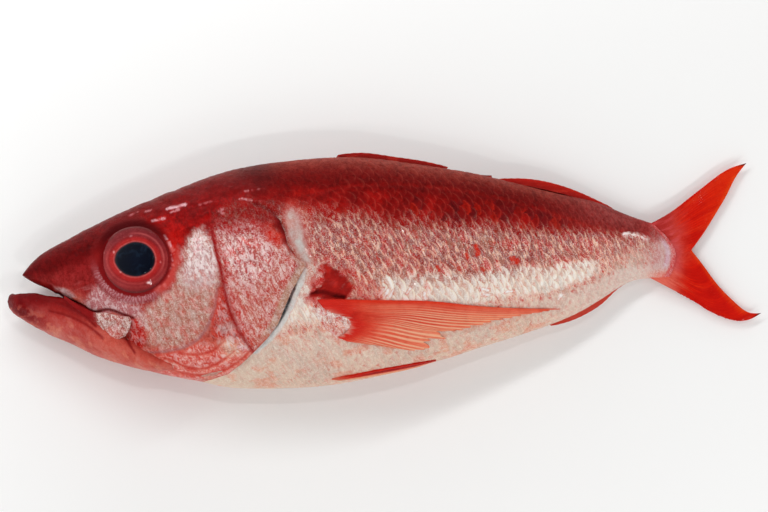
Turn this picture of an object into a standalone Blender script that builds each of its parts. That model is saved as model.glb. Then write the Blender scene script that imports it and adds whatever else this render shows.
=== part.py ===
"""A whole raw sea fish, 400 mm from jaw to tail tips, lying on its right side.

One solid: trunk, head with open jaws and gill covers, eyes and all the fins.
Frame: +X towards the tail, +Y towards the back, +Z up out of the left flank.
The origin lies on the surface below the middle of the outline.
Lengths below are millimetres; build() scales the finished meshes to metres.
"""

import math

import bmesh
import bpy
import numpy as np

MM = 0.001
# Points of one shape closer than this, in metres, are one point.
MERGE_DISTANCE = 0.00001

# Driving sizes of the body. Each line runs from the head to the root of the tail.
BACK_LINE = (
    (-191.0, -0.5), (-173.5, 13.3), (-148.0, 26.5), (-114.0, 41.4), (-80.0, 53.4), (-46.0, 59.0),
    (-18.0, 60.6), (15.0, 57.4), (51.5, 51.5), (94.0, 40.8), (126.0, 30.8), (150.0, 24.2),
)
BELLY_LINE = (
    (-130.0, -44.0), (-108.0, -53.6), (-84.0, -60.9), (-58.0, -62.3), (-33.0, -60.7), (0.0, -55.4),
    (30.0, -48.2), (60.0, -39.6), (94.0, -26.5), (120.0, -12.4), (134.0, -5.0), (150.0, -4.6),
)
HALF_WIDTH = (
    (-191.0, 3.6), (-180.0, 8.0), (-165.0, 12.4), (-150.0, 16.0), (-131.0, 19.6), (-105.0, 24.6),
    (-75.0, 29.4), (-40.0, 31.2), (-5.0, 30.2), (35.0, 26.6), (75.0, 20.6), (112.0, 12.6), (150.0, 4.6),
)
# The right flank is pressed flat by the fish's weight. Everything but the trunk clears the surface.
PRESSED_DEPTH = 0.8
CLEARANCE = 0.4
# Height of the fish's own mid-plane over the surface: the limp tail droops onto it.
MIDLINE_HEIGHT = (
    (-200.0, 20.0), (-131.0, 23.4), (-70.0, 27.0), (-10.0, 27.2), (40.0, 23.6), (90.0, 16.4),
    (130.0, 9.8), (155.0, 6.6), (180.0, 4.4), (200.0, 3.2),
)

# Head: the underside of the upper jaw runs back into the throat behind the lower jaw.
THROAT_LINE = (
    (-191.0, -0.7), (-188.4, -5.0), (-176.8, -9.8), (-160.7, -20.5), (-148.0, -33.0), (-131.0, -45.6),
    (-112.0, -53.6), (-90.0, -58.6), (-60.0, -60.0),
)
SNOUT_X = -191.0
# The cheeks are boxier than the trunk.
HEAD_POWER = ((-191.0, 0.9), (-160.0, 0.76), (-130.0, 0.76), (-70.0, 1.0))
# (y, x) of the free rear edge of the gill cover, from the nape down to the isthmus.
GILL_EDGE = (
    (-60.0, -98.0), (-55.7, -86.0), (-41.9, -68.4), (-26.5, -55.7), (-10.0, -47.2), (2.1, -43.2),
    (14.9, -48.2), (27.1, -55.6), (36.0, -67.0), (48.0, -80.0), (58.0, -88.0),
)
# The gill cover stands this proud of the trunk, fading over the nape to almost nothing.
GILL_STEP, NAPE_STEP = 2.4, 0.4
GILL_STEP_TOP, GILL_STEP_FADE = 34.0, 9.0
GILL_COVER_TUCK = 9.0
# The edge's place at an angle is found from here in this many steps.
GILL_EDGE_START_X, GILL_EDGE_STEPS = -60.0, 12
NAPE_TUCK_X = -70.0

# Lower jaw, which juts past the snout.
JAW_TOP_LINE = (
    (-199.6, -16.4), (-195.5, -11.4), (-187.0, -11.8), (-180.0, -13.4), (-170.8, -14.6), (-160.7, -21.8),
    (-148.0, -33.4), (-130.0, -42.0), (-112.0, -46.0),
)
JAW_BOTTOM_LINE = (
    (-199.6, -16.8), (-194.0, -23.2), (-177.8, -32.1), (-164.0, -38.3), (-152.4, -43.6), (-139.7, -47.9),
    (-127.0, -51.6), (-112.0, -54.6),
)
JAW_HALF_WIDTH = (
    (-199.6, 2.6), (-190.0, 8.0), (-175.0, 11.4), (-160.0, 14.6),
    (-145.0, 17.2), (-130.0, 17.0), (-112.0, 14.0),
)
MOUTH_FLOOR_WIDTH_SHARE = 0.62
MOUTH_FLOOR_DEPTH_SHARE = 0.45
# How much closer together the jaw's sections stand at its tip.
JAW_CROWDING = 0.6

# Side bone of the upper jaw: (x, y) of its middle, half its height, and its reach from the mid-plane.
MAXILLA_MIDDLE = (
    (-177.0, -8.2), (-168.0, -12.4), (-160.0, -17.0), (-150.0, -24.2), (-143.0, -28.6), (-134.2, -29.6),
)
MAXILLA_HALF_HEIGHT = (
    (-177.0, 1.4), (-168.0, 1.9), (-158.0, 2.8), (-150.0, 5.2), (-143.0, 7.0), (-137.0, 6.2), (-134.2, 3.4),
)
MAXILLA_REACH = ((-177.0, 7.6), (-168.0, 9.6), (-158.0, 11.6), (-148.0, 13.6), (-134.2, 16.4))
MAXILLA_HALF_THICKNESS = 2.2

# Eye: a low dome in a raised rim, the same on both sides.
EYE_X, EYE_Y = -131.2, 5.8
EYE_RADIUS, EYE_DOME_RISE = 15.6, 4.2
ORBIT_RADIUS, ORBIT_RIM = 17.6, 1.5
ORBIT_GROOVE, ORBIT_RISE, ORBIT_ROOT = 0.4, 1.2, 8.0

# Fins. A blade is given by its root line and its free edge, and tapers in thickness between them.
FIN_ROOT_DEPTH = 4.0
TAIL_ROOT_X, TAIL_ROOT_TOP, TAIL_ROOT_BOTTOM = 141.0, 23.6, -2.6
TAIL_EDGE = (
    (145.2, 25.2), (157.6, 36.0), (174.5, 48.7), (187.0, 56.0), (192.4, 57.0), (187.0, 51.6), (178.8, 36.6),
    (169.5, 18.5), (163.0, 9.6), (170.5, 2.5), (178.8, -7.8), (187.5, -15.6), (195.5, -21.6), (200.0, -22.4),
    (195.5, -26.0), (183.0, -24.6), (166.0, -16.8), (149.0, -7.2),
)
TAIL_ROOT_THICKNESS, TAIL_EDGE_THICKNESS = 5.0, 1.2
SPINY_DORSAL = ((-26.0, 0.4), (-16.0, 2.2), (0.0, 3.2), (16.0, 3.0), (28.0, 2.6), (34.0, 1.4))
SOFT_DORSAL = ((65.0, 0.6), (76.0, 2.6), (88.0, 4.6), (100.0, 4.2), (110.0, 3.2), (121.0, 0.6))
ANAL_FIN = ((90.0, 0.8), (100.0, 3.4), (112.0, 4.4), (122.0, 3.6), (131.0, 0.8))
CREST_THICKNESS, CREST_EDGE_THICKNESS = 3.0, 1.2
CREST_LEAN, CREST_LEAST_RISE = -1.5, 0.3
DORSAL_SPINES = ((38.0, 48.0), (47.0, 57.5))
SPINE_RISE, SPINE_THICKNESS, SPINE_ROOT_THICKNESS = 1.5, 1.3, 1.9
SPINE_FREE_TIP = 1.0
PELVIC_FIN_X = (-30.0, 30.0)
PELVIC_FIN_WIDTH, PELVIC_FIN_THICKNESS = 7.0, 1.8
PELVIC_FIN_STEPS, PELVIC_FIN_ROOT = 10, 3.0
# Shares of the full width at the ends, of the half turn that the swelling leaves out at each end,
# and of the width that stays at the fin's outer face.
PELVIC_FIN_END_WIDTH, PELVIC_FIN_SWELLING_END, PELVIC_FIN_FACE_WIDTH = 0.35, 0.1, 0.8
# Shares of the full thickness in front, gained per length, and lost by the rear end.
PELVIC_FIN_FRONT_RISE, PELVIC_FIN_RISE_RATE, PELVIC_FIN_REAR_LOSS = 0.35, 4.0, 0.5
PELVIC_FIN_ANGLES = (math.radians(-67), math.radians(-113))
PECTORAL_TOP_EDGE = ((-37.0, -13.8), (-10.0, -15.6), (30.0, -16.6), (60.0, -18.0), (91.5, -19.9))
PECTORAL_LOW_EDGE = (
    (-25.0, -34.5), (0.0, -39.0), (19.0, -41.4), (34.0, -35.6), (57.0, -28.6), (91.5, -20.9),
)
PECTORAL_RISE, PECTORAL_TIP_RISE, PECTORAL_CROWN, PECTORAL_ROOT = 3.2, 1.7, 0.45, 2.5
PECTORAL_STEPS, PECTORAL_ACROSS = 16, 4

# Mesh fineness: steps along and around each shape.
TRUNK_STEPS, AROUND = 38, 36
HEAD_STEPS = 22
JAW_STEPS, JAW_AROUND = 16, 18
MAXILLA_STEPS, MAXILLA_AROUND = 12, 12
EYE_AROUND, EYE_RINGS = 24, 8
TRUNK_FRONT_X, TRUNK_REAR_X = -112.0, 148.0

FLESH_COLOUR = (0.52, 0.10, 0.07, 1.0)
FLESH_ROUGHNESS = 0.3


def spline(points):
    """A natural cubic curve through (position, value) points, as a function of position."""
    at, value = (np.array(column, float) for column in zip(*points))
    gap = np.diff(at)
    system = np.eye(len(at))
    wanted = np.zeros(len(at))
    for i in range(1, len(at) - 1):
        system[i, i - 1 : i + 2] = gap[i - 1], 2 * (gap[i - 1] + gap[i]), gap[i]
        wanted[i] = 6 * ((value[i + 1] - value[i]) / gap[i] - (value[i] - value[i - 1]) / gap[i - 1])
    bend = np.linalg.solve(system, wanted)

    def curve(position):
        position = min(max(position, at[0]), at[-1])
        i = min(int(np.searchsorted(at, position, side="right")) - 1, len(gap) - 1)
        left, right = at[i + 1] - position, position - at[i]
        cubic = (bend[i] * left**3 + bend[i + 1] * right**3) / (6 * gap[i])
        lines = (value[i] / gap[i] - bend[i] * gap[i] / 6) * left
        lines += (value[i + 1] / gap[i] - bend[i + 1] * gap[i] / 6) * right
        return float(cubic + lines)

    return curve


def line(points):
    """Straight runs through (position, value) points, as a function of position."""
    at, value = zip(*points)
    return lambda position: float(np.interp(position, at, value))


back = spline(BACK_LINE)
belly = spline(BELLY_LINE)
half_width = spline(HALF_WIDTH)
midline_height = spline(MIDLINE_HEIGHT)
throat = spline(THROAT_LINE)
gill_edge = spline(GILL_EDGE)
head_power = line(HEAD_POWER)


def section_point(x, angle, top, bottom, width, lift=0.0, power=1.0):
    """A point of the oval section at x. Angle 0 is the left flank and a quarter turn on is the back.

    A power under 1 makes the oval boxier. The right flank is pressed flatter, so that all but
    the trunk itself clears the surface.
    """
    up = math.copysign(abs(math.sin(angle)) ** power, math.sin(angle))
    across = math.copysign(abs(math.cos(angle)) ** power, math.cos(angle))
    y = (top + bottom) / 2 + ((top - bottom) / 2 + lift) * up
    reach = width + lift
    if across < 0:
        reach = min(reach, midline_height(x) - CLEARANCE)
    return (x, y, midline_height(x) + reach * across)


def trunk_point(x, angle, lift=0.0):
    return section_point(x, angle, back(x), belly(x), half_width(x), lift)


def resting_trunk_point(x, angle):
    """The trunk's own skin, which is pressed flat where it meets the surface."""
    x, y, z = trunk_point(x, angle)
    across = -math.cos(angle)
    if across > 0:
        z = midline_height(x) - min(half_width(x), midline_height(x) + PRESSED_DEPTH) * across
    return (x, y, max(z, 0.0))


def flank_angle(x, y):
    """The angle at which the trunk's left flank reaches the height y at x."""
    top, bottom = back(x), belly(x)
    share = (2 * y - top - bottom) / (top - bottom)
    return math.asin(max(-1.0, min(1.0, share)))


def turn(count):
    return [2 * math.pi * i / count for i in range(count)]


def loft(name, rings):
    """A closed mesh through rings of equal count, capped at both ends."""
    mesh = bmesh.new()
    rows = [[mesh.verts.new(point) for point in ring] for ring in rings]
    for row, following in zip(rows, rows[1:]):
        for i in range(len(row)):
            j = (i + 1) % len(row)
            mesh.faces.new((row[i], row[j], following[j], following[i]))
    mesh.faces.new(list(reversed(rows[0])))
    mesh.faces.new(rows[-1])
    return finished(name, mesh)


def finished(name, mesh):
    """An object in metres made from a bmesh in millimetres, with its faces pointing out."""
    bmesh.ops.scale(mesh, vec=(MM, MM, MM), verts=mesh.verts)
    bmesh.ops.remove_doubles(mesh, verts=mesh.verts, dist=MERGE_DISTANCE)
    bmesh.ops.recalc_face_normals(mesh, faces=mesh.faces)
    data = bpy.data.meshes.new(name)
    mesh.to_mesh(data)
    mesh.free()
    data.shade_smooth()
    item = bpy.data.objects.new(name, data)
    bpy.context.scene.collection.objects.link(item)
    return item


def trunk():
    """The scaled body from inside the head to the root of the tail."""
    rings = []
    for step in range(TRUNK_STEPS + 1):
        x = TRUNK_FRONT_X + (TRUNK_REAR_X - TRUNK_FRONT_X) * step / TRUNK_STEPS
        rings.append([resting_trunk_point(x, angle) for angle in turn(AROUND)])
    return loft("fish", rings)


def head_point(x, angle, lift=0.0):
    return section_point(x, angle, back(x), throat(x), half_width(x), lift, head_power(x))


def gill_edge_x(angle):
    """Where the gill cover ends at this angle round the head, found by a few steps of iteration."""
    x = GILL_EDGE_START_X
    for _ in range(GILL_EDGE_STEPS):
        x = gill_edge(head_point(x, angle)[1])
    return x


def head():
    """The upper head. Its last ring is the gill cover's free edge, which stands proud of the trunk."""
    rings = []
    for step in range(HEAD_STEPS + 1):
        share = step / HEAD_STEPS
        along = share * share * (2 - share)
        ring = []
        for angle in turn(AROUND):
            end = gill_edge_x(angle)
            x = SNOUT_X + (end - SNOUT_X) * along
            y = head_point(x, angle)[1]
            proud = min(1.0, max(0.0, (GILL_STEP_TOP - y) / GILL_STEP_FADE))
            ring.append(head_point(x, angle, NAPE_STEP + (GILL_STEP - NAPE_STEP) * proud * along**3))
        rings.append(ring)
    tuck = []
    for angle in turn(AROUND):
        tuck.append(trunk_point(min(gill_edge_x(angle), NAPE_TUCK_X), angle, -GILL_COVER_TUCK))
    rings.append(tuck)
    return loft("head", rings)


def lower_jaw():
    """The lower jaw: a trough with the floor of the mouth sunk between its two edges."""
    top, bottom, width = spline(JAW_TOP_LINE), spline(JAW_BOTTOM_LINE), spline(JAW_HALF_WIDTH)
    front, rear = JAW_TOP_LINE[0][0], JAW_TOP_LINE[-1][0]
    rings = []
    for step in range(JAW_STEPS + 1):
        share = step / JAW_STEPS
        x = front + (rear - front) * share * share * (1 + JAW_CROWDING * (1 - share))
        high, low, wide = top(x), bottom(x), width(x)
        ring = []
        for angle in turn(JAW_AROUND):
            across = math.cos(angle)
            point = section_point(x, angle, high, low, wide)
            if math.sin(angle) > 0 and abs(across) < MOUTH_FLOOR_WIDTH_SHARE:
                hollow = 1 - (across / MOUTH_FLOOR_WIDTH_SHARE) ** 2
                sunk = (high - low) * MOUTH_FLOOR_DEPTH_SHARE * hollow
                point = (point[0], point[1] - sunk, point[2])
            ring.append(point)
        rings.append(ring)
    return loft("lower_jaw", rings)


def maxilla(side):
    """The bone along the edge of the upper jaw, widening to a plate at its rear end."""
    middle, reach = spline(MAXILLA_MIDDLE), spline(MAXILLA_REACH)
    half_height = spline(MAXILLA_HALF_HEIGHT)
    front, rear = MAXILLA_MIDDLE[0][0], MAXILLA_MIDDLE[-1][0]
    rings = []
    for step in range(MAXILLA_STEPS + 1):
        x = front + (rear - front) * step / MAXILLA_STEPS
        ring = []
        for angle in turn(MAXILLA_AROUND):
            y = middle(x) + half_height(x) * math.sin(angle)
            z = reach(x) + MAXILLA_HALF_THICKNESS * math.cos(angle)
            ring.append((x, y, midline_height(x) + side * z))
        rings.append(ring)
    return loft(f"maxilla_{side}", rings)


def eye_profile():
    """(radius, rise) pairs from the middle of the dome out over the rim of the orbit and down."""
    profile = []
    for step in range(1, EYE_RINGS + 1):
        quarter = step / EYE_RINGS * math.pi / 2
        profile.append((EYE_RADIUS * math.sin(quarter), EYE_DOME_RISE * math.cos(quarter)))
    profile.append((ORBIT_RADIUS - ORBIT_RIM, -ORBIT_GROOVE))
    profile.append((ORBIT_RADIUS, ORBIT_RISE))
    profile.append((ORBIT_RADIUS + ORBIT_RIM, -ORBIT_GROOVE))
    profile.append((ORBIT_RADIUS, -ORBIT_ROOT))
    return profile


def eye(side):
    """A low dome with a raised rim round it, facing out of one side of the head. Side is 1 or -1."""
    middle, half_height = (back(EYE_X) + throat(EYE_X)) / 2, (back(EYE_X) - throat(EYE_X)) / 2
    reach = half_width(EYE_X) * math.cos(math.asin((EYE_Y - middle) / half_height))
    slope = (half_width(EYE_X + ORBIT_RADIUS) - half_width(EYE_X - ORBIT_RADIUS)) / (2 * ORBIT_RADIUS)
    rings = []
    for radius, rise in eye_profile():
        ring = []
        for angle in turn(EYE_AROUND):
            along = radius * math.cos(angle)
            z = midline_height(EYE_X) + side * (reach + rise + slope * along)
            ring.append((EYE_X + along, EYE_Y + radius * math.sin(angle), max(z, CLEARANCE)))
        rings.append(ring)
    return loft(f"eye_{side}", rings)


def blade(name, root, edge, root_thickness, edge_thickness):
    """A fin between two matched rows of (x, y, z) points, thick at its root and thin at its edge."""
    mesh = bmesh.new()
    rows = []
    for points, thickness in ((root, root_thickness), (edge, edge_thickness)):
        for sign in (1, -1):
            rows.append([mesh.verts.new((x, y, z + sign * thickness / 2)) for x, y, z in points])
    root_up, root_down, edge_up, edge_down = rows
    for i in range(len(root) - 1):
        for a, b in ((root_up, edge_up), (edge_up, edge_down), (edge_down, root_down), (root_down, root_up)):
            mesh.faces.new((a[i], a[i + 1], b[i + 1], b[i]))
    for i in (0, -1):
        mesh.faces.new((root_up[i], edge_up[i], edge_down[i], root_down[i]))
    return finished(name, mesh)


def tail_fin():
    """The forked tail: a fan from the tail root to its outline."""
    root, edge = [], []
    for i, (x, y) in enumerate(TAIL_EDGE):
        share = i / (len(TAIL_EDGE) - 1)
        root_y = TAIL_ROOT_TOP + (TAIL_ROOT_BOTTOM - TAIL_ROOT_TOP) * share
        root.append((TAIL_ROOT_X, root_y, midline_height(TAIL_ROOT_X)))
        edge.append((x, y, midline_height(x)))
    return blade("tail_fin", root, edge, TAIL_ROOT_THICKNESS, TAIL_EDGE_THICKNESS)


def crest_fin(name, rises, outline, outward):
    """A folded fin along the back or belly. Rises are (x, height over the body), outward is 1 or -1."""
    root, edge = [], []
    rise = spline(rises)
    steps = 2 * len(rises)
    for step in range(steps + 1):
        x = rises[0][0] + (rises[-1][0] - rises[0][0]) * step / steps
        height = midline_height(x) + CREST_LEAN
        root.append((x, outline(x) - outward * FIN_ROOT_DEPTH, height))
        edge.append((x, outline(x) + outward * max(rise(x), CREST_LEAST_RISE), height))
    return blade(name, root, edge, CREST_THICKNESS, CREST_EDGE_THICKNESS)


def dorsal_spine(index, start, end):
    """A short free spine lying back between the two dorsal fins."""
    root = [(x, back(x) - FIN_ROOT_DEPTH, midline_height(x)) for x in (start, end - SPINE_FREE_TIP)]
    edge = [(start, back(start), midline_height(start)), (end, back(end) + SPINE_RISE, midline_height(end))]
    return blade(f"dorsal_spine_{index}", root, edge, SPINE_ROOT_THICKNESS, SPINE_THICKNESS)


def pelvic_fin(index, angle):
    """A fin folded flat along the belly, beside its middle line."""
    front, rear = PELVIC_FIN_X
    rings = []
    for step in range(PELVIC_FIN_STEPS + 1):
        share = step / PELVIC_FIN_STEPS
        x = front + (rear - front) * share
        swelling = math.sin(math.pi * (PELVIC_FIN_SWELLING_END + (1 - 2 * PELVIC_FIN_SWELLING_END) * share))
        width = PELVIC_FIN_WIDTH * (PELVIC_FIN_END_WIDTH + (1 - PELVIC_FIN_END_WIDTH) * swelling)
        spread = width / 2 / half_width(x)
        rise = min(1.0, PELVIC_FIN_FRONT_RISE + PELVIC_FIN_RISE_RATE * share)
        lift = PELVIC_FIN_THICKNESS * rise * (1 - PELVIC_FIN_REAR_LOSS * share)
        face = PELVIC_FIN_FACE_WIDTH
        ring = []
        for height, across in ((-PELVIC_FIN_ROOT, -1), (lift, -face), (lift, face), (-PELVIC_FIN_ROOT, 1)):
            ring.append(trunk_point(x, angle + across * spread, height))
        rings.append(ring)
    return loft(f"pelvic_fin_{index}", rings)


def pectoral_fin(side):
    """The long side fin, folded back against the flank. Side is 1 for the left flank, -1 for the right."""
    top, low = line(PECTORAL_TOP_EDGE), spline(PECTORAL_LOW_EDGE)
    (top_front, _), (top_rear, _) = PECTORAL_TOP_EDGE[0], PECTORAL_TOP_EDGE[-1]
    (low_front, _), (low_rear, _) = PECTORAL_LOW_EDGE[0], PECTORAL_LOW_EDGE[-1]
    rings = []
    for step in range(PECTORAL_STEPS + 1):
        share = step / PECTORAL_STEPS
        x_top = top_front + (top_rear - top_front) * share
        x_low = low_front + (low_rear - low_front) * share
        rise = PECTORAL_RISE + (PECTORAL_TIP_RISE - PECTORAL_RISE) * share
        outside, inside = [], []
        for i in range(PECTORAL_ACROSS + 1):
            part = i / PECTORAL_ACROSS
            x = x_top + (x_low - x_top) * part
            angle = flank_angle(x, top(x_top) + (low(x_low) - top(x_top)) * part)
            if side < 0:
                angle = math.pi - angle
            crown = 1 - PECTORAL_CROWN * abs(2 * part - 1)
            outside.append(trunk_point(x, angle, rise * crown))
            inside.append(trunk_point(x, angle, -PECTORAL_ROOT))
        rings.append(outside + inside[::-1])
    return loft(f"pectoral_fin_{side}", rings)


def unite(base, others):
    """Joins the other shapes onto the base with Boolean unions and hides them."""
    for other in others:
        other.hide_render = True
        other.display_type = "WIRE"
        union = base.modifiers.new(other.name, "BOOLEAN")
        union.operation = "UNION"
        union.solver = "EXACT"
        union.object = other


def flesh():
    material = bpy.data.materials.new("fish_skin")
    material.use_nodes = True
    shader = material.node_tree.nodes["Principled BSDF"]
    shader.inputs["Base Color"].default_value = FLESH_COLOUR
    shader.inputs["Roughness"].default_value = FLESH_ROUGHNESS
    shader.inputs["Metallic"].default_value = 0.0
    return material


def build():
    for item in list(bpy.data.objects):
        bpy.data.objects.remove(item)
    fish = trunk()
    shapes = [head(), lower_jaw(), tail_fin()]
    shapes += [shape(side) for shape in (maxilla, eye) for side in (1, -1)]
    shapes.append(crest_fin("spiny_dorsal_fin", SPINY_DORSAL, back, 1))
    shapes.append(crest_fin("soft_dorsal_fin", SOFT_DORSAL, back, 1))
    shapes.append(crest_fin("anal_fin", ANAL_FIN, belly, -1))
    shapes += [dorsal_spine(i, *span) for i, span in enumerate(DORSAL_SPINES)]
    shapes += [pelvic_fin(i, angle) for i, angle in enumerate(PELVIC_FIN_ANGLES)]
    shapes += [pectoral_fin(side) for side in (1, -1)]
    unite(fish, shapes)
    fish.data.materials.append(flesh())


build()
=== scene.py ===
"""The look of a whole raw red sea fish, lying on its right side on a pale floor.

Shapes are worked out in millimetres in the row frame. Marks of the skin are placed by their
pixel in the photograph, which looks straight down: one pixel is PIXEL millimetres wide.
"""

import math

import bpy
import numpy as np
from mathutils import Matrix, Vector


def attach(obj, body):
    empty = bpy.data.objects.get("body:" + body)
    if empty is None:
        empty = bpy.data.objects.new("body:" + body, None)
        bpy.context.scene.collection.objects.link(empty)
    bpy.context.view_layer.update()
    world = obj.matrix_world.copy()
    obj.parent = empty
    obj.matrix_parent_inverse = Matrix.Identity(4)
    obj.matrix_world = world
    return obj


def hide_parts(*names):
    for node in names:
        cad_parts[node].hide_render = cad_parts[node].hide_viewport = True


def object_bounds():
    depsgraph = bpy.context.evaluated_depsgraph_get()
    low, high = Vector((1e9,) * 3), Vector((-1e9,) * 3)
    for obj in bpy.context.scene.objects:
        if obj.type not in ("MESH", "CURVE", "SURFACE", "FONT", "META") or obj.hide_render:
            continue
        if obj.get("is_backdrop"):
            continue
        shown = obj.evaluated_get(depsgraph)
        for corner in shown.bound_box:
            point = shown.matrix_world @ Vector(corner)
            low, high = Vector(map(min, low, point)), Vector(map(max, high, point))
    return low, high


MM = 0.001
PIXEL = 0.5326
PHOTO_ZERO = (383.5, 271.0)
# The materials count a place in units of this many pixels, or of this height in millimetres.
PLACE_PIXELS, PLACE_HEIGHT = 100.0, 53.0

BACK_LINE = (
    (-192.5, -1.6), (-190.0, 1.6), (-173.5, 14.2), (-148.0, 27.4), (-114.0, 42.0), (-80.0, 53.8),
    (-46.0, 58.9), (-18.0, 60.6), (15.0, 57.4), (51.5, 51.5), (94.0, 41.0), (115.0, 36.0), (124.0, 32.6),
    (132.4, 29.4), (141.0, 26.4), (150.0, 24.2), (170.0, 23.0),
)
BOTTOM_LINE = (
    (-192.5, -2.6), (-188.4, -5.4), (-176.8, -10.8), (-171.0, -14.6), (-160.7, -22.0), (-148.0, -33.6),
    (-138.0, -44.0), (-128.0, -51.6), (-119.0, -54.6), (-110.0, -56.4), (-98.0, -58.6), (-84.0, -61.6),
    (-70.0, -62.6), (-50.0, -62.4), (-33.0, -61.2), (0.0, -55.4), (30.0, -47.6), (60.0, -38.4),
    (94.0, -26.7), (108.0, -20.0), (120.0, -12.6), (134.0, -5.0), (150.0, -4.4), (170.0, -5.0),
)
HALF_WIDTH = (
    (-192.5, 3.0), (-180.0, 8.0), (-165.0, 12.4), (-150.0, 16.0), (-131.0, 19.6), (-105.0, 24.6),
    (-75.0, 29.4), (-40.0, 31.2), (-5.0, 30.2), (35.0, 26.6), (75.0, 20.6), (112.0, 12.6), (140.0, 7.0),
    (150.0, 5.0), (170.0, 3.4),
)
PRESSED_DEPTH = 0.8
MIDLINE_HEIGHT = (
    (-200.0, 20.0), (-131.0, 23.4), (-70.0, 27.0), (-10.0, 27.2), (40.0, 23.6), (90.0, 16.4),
    (130.0, 9.8), (155.0, 6.6), (180.0, 4.4), (200.0, 3.2),
)
SECTION_POWER = ((-191.0, 0.9), (-160.0, 0.76), (-130.0, 0.76), (-70.0, 1.0), (200.0, 1.0))
SNOUT_X = -192.5
# The flesh narrows to nothing at the root of the tail, over this length.
TAPER_END, TAPER_LENGTH = 158.5, 17.0


def spline(points):
    """A natural cubic curve through (position, value) points, for arrays of positions."""
    at, value = (np.array(column, float) for column in zip(*points))
    gap = np.diff(at)
    system = np.eye(len(at))
    wanted = np.zeros(len(at))
    for i in range(1, len(at) - 1):
        system[i, i - 1 : i + 2] = gap[i - 1], 2 * (gap[i - 1] + gap[i]), gap[i]
        wanted[i] = 6 * ((value[i + 1] - value[i]) / gap[i] - (value[i] - value[i - 1]) / gap[i - 1])
    bend = np.linalg.solve(system, wanted)

    def curve(position):
        p = np.clip(position, at[0], at[-1])
        i = np.clip(np.searchsorted(at, p, side="right") - 1, 0, len(gap) - 1)
        left, right, g = at[i + 1] - p, p - at[i], gap[i]
        cubic = (bend[i] * left**3 + bend[i + 1] * right**3) / (6 * g)
        return (
            cubic + (value[i] / g - bend[i] * g / 6) * left + (value[i + 1] / g - bend[i + 1] * g / 6) * right
        )

    return curve


def line(points):
    """Straight runs through (position, value) points, for arrays of positions."""
    at, value = zip(*points)
    return lambda position: np.interp(position, at, value)


back, bottom, half_width = spline(BACK_LINE), spline(BOTTOM_LINE), spline(HALF_WIDTH)
midline, power = spline(MIDLINE_HEIGHT), line(SECTION_POWER)


def frame_xy(pixel_x, pixel_y):
    """Frame millimetres of a photograph pixel."""
    return (np.asarray(pixel_x) - PHOTO_ZERO[0]) * PIXEL, (PHOTO_ZERO[1] - np.asarray(pixel_y)) * PIXEL


def photo_xy(x, y):
    """Photograph pixel of a place in the frame, in millimetres."""
    return PHOTO_ZERO[0] + x / PIXEL, PHOTO_ZERO[1] - y / PIXEL


def ramp(value, low, high):
    """Smoothly from 0 at low to 1 at high."""
    t = np.clip((value - low) / (high - low), 0.0, 1.0)
    return t * t * (3 - 2 * t)


def fall(value, low, high):
    """Smoothly from 1 at low to 0 at high."""
    return 1 - ramp(value, low, high)


def mixed(a, b, t):
    return a + (b - a) * t


def overlay(tint, *marks):
    """Lays colours over a tint one after another, each where its mask is 1."""
    for mask, colour in marks:
        tint += (np.asarray(colour, float) - tint) * np.clip(mask, 0, 1)[..., None]


def wave(turns, start=0.0):
    """Waves from 0 to 1, one for each turn."""
    return 0.5 + 0.5 * np.cos(2 * math.pi * turns + start)


def shares(rows, columns, first=0.0, last=1.0):
    """A grid's shares from 0 to 1 down its rows, and its values from first to last along each row."""
    return np.meshgrid(np.linspace(0, 1, rows), np.linspace(first, last, columns), indexing="ij")


def arc_length(points):
    """Length along each line of points, starting from 0."""
    step = np.linalg.norm(np.diff(points, axis=-2), axis=-1)
    return np.concatenate([np.zeros((*step.shape[:-1], 1)), np.cumsum(step, axis=-1)], axis=-1)


def place_of(px, py, height):
    return np.stack([px / PLACE_PIXELS, py / PLACE_PIXELS, height / PLACE_HEIGHT], axis=-1)


def sided(name, side):
    return f"{name}_left" if side > 0 else f"{name}_right"


def noise(x, y, size, seed):
    """Smooth value noise from -1 to 1, with bumps of the given size."""
    table = np.random.default_rng(seed).uniform(-1, 1, (128, 128))
    gx, gy = np.asarray(x) / size, np.asarray(y) / size
    ix, iy = np.floor(gx).astype(int), np.floor(gy).astype(int)
    fx, fy = gx - ix, gy - iy
    fx, fy = fx * fx * (3 - 2 * fx), fy * fy * (3 - 2 * fy)
    corner = lambda a, b: table[(ix + a) % 128, (iy + b) % 128]
    low = mixed(corner(0, 0), corner(1, 0), fx)
    return mixed(low, mixed(corner(0, 1), corner(1, 1), fx), fy)


def rough_noise(x, y, size, seed):
    """Noise with finer bumps on its bumps."""
    total = (
        noise(x, y, size, seed) + 0.5 * noise(x, y, size / 2, seed + 1)
        + 0.25 * noise(x, y, size / 4, seed + 2)
    )
    return total / 1.4


def distance(px, py, points):
    """Distance of each (px, py) from a line of points."""
    best = np.full(np.shape(px), 1e9)
    for (ax, ay), (bx, by) in zip(points, points[1:]):
        dx, dy = bx - ax, by - ay
        t = np.clip(((px - ax) * dx + (py - ay) * dy) / (dx * dx + dy * dy), 0, 1)
        best = np.minimum(best, np.hypot(px - ax - t * dx, py - ay - t * dy))
    return best


def stroke(px, py, points, width):
    """1 on a line, fading to 0 at the given distance from it."""
    return fall(distance(px, py, points), 0.0, width)


def area(px, py, points, soft):
    """1 inside an outline and 0 outside, with a soft edge."""
    loop = list(points) + [points[0]]
    inside = np.zeros(np.shape(px), bool)
    for (ax, ay), (bx, by) in zip(loop, loop[1:]):
        if ay != by:
            inside ^= ((ay > py) != (by > py)) & (px < (bx - ax) * (py - ay) / (by - ay) + ax)
    edge = distance(px, py, loop)
    return ramp(np.where(inside, edge, -edge), -soft, soft)


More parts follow.
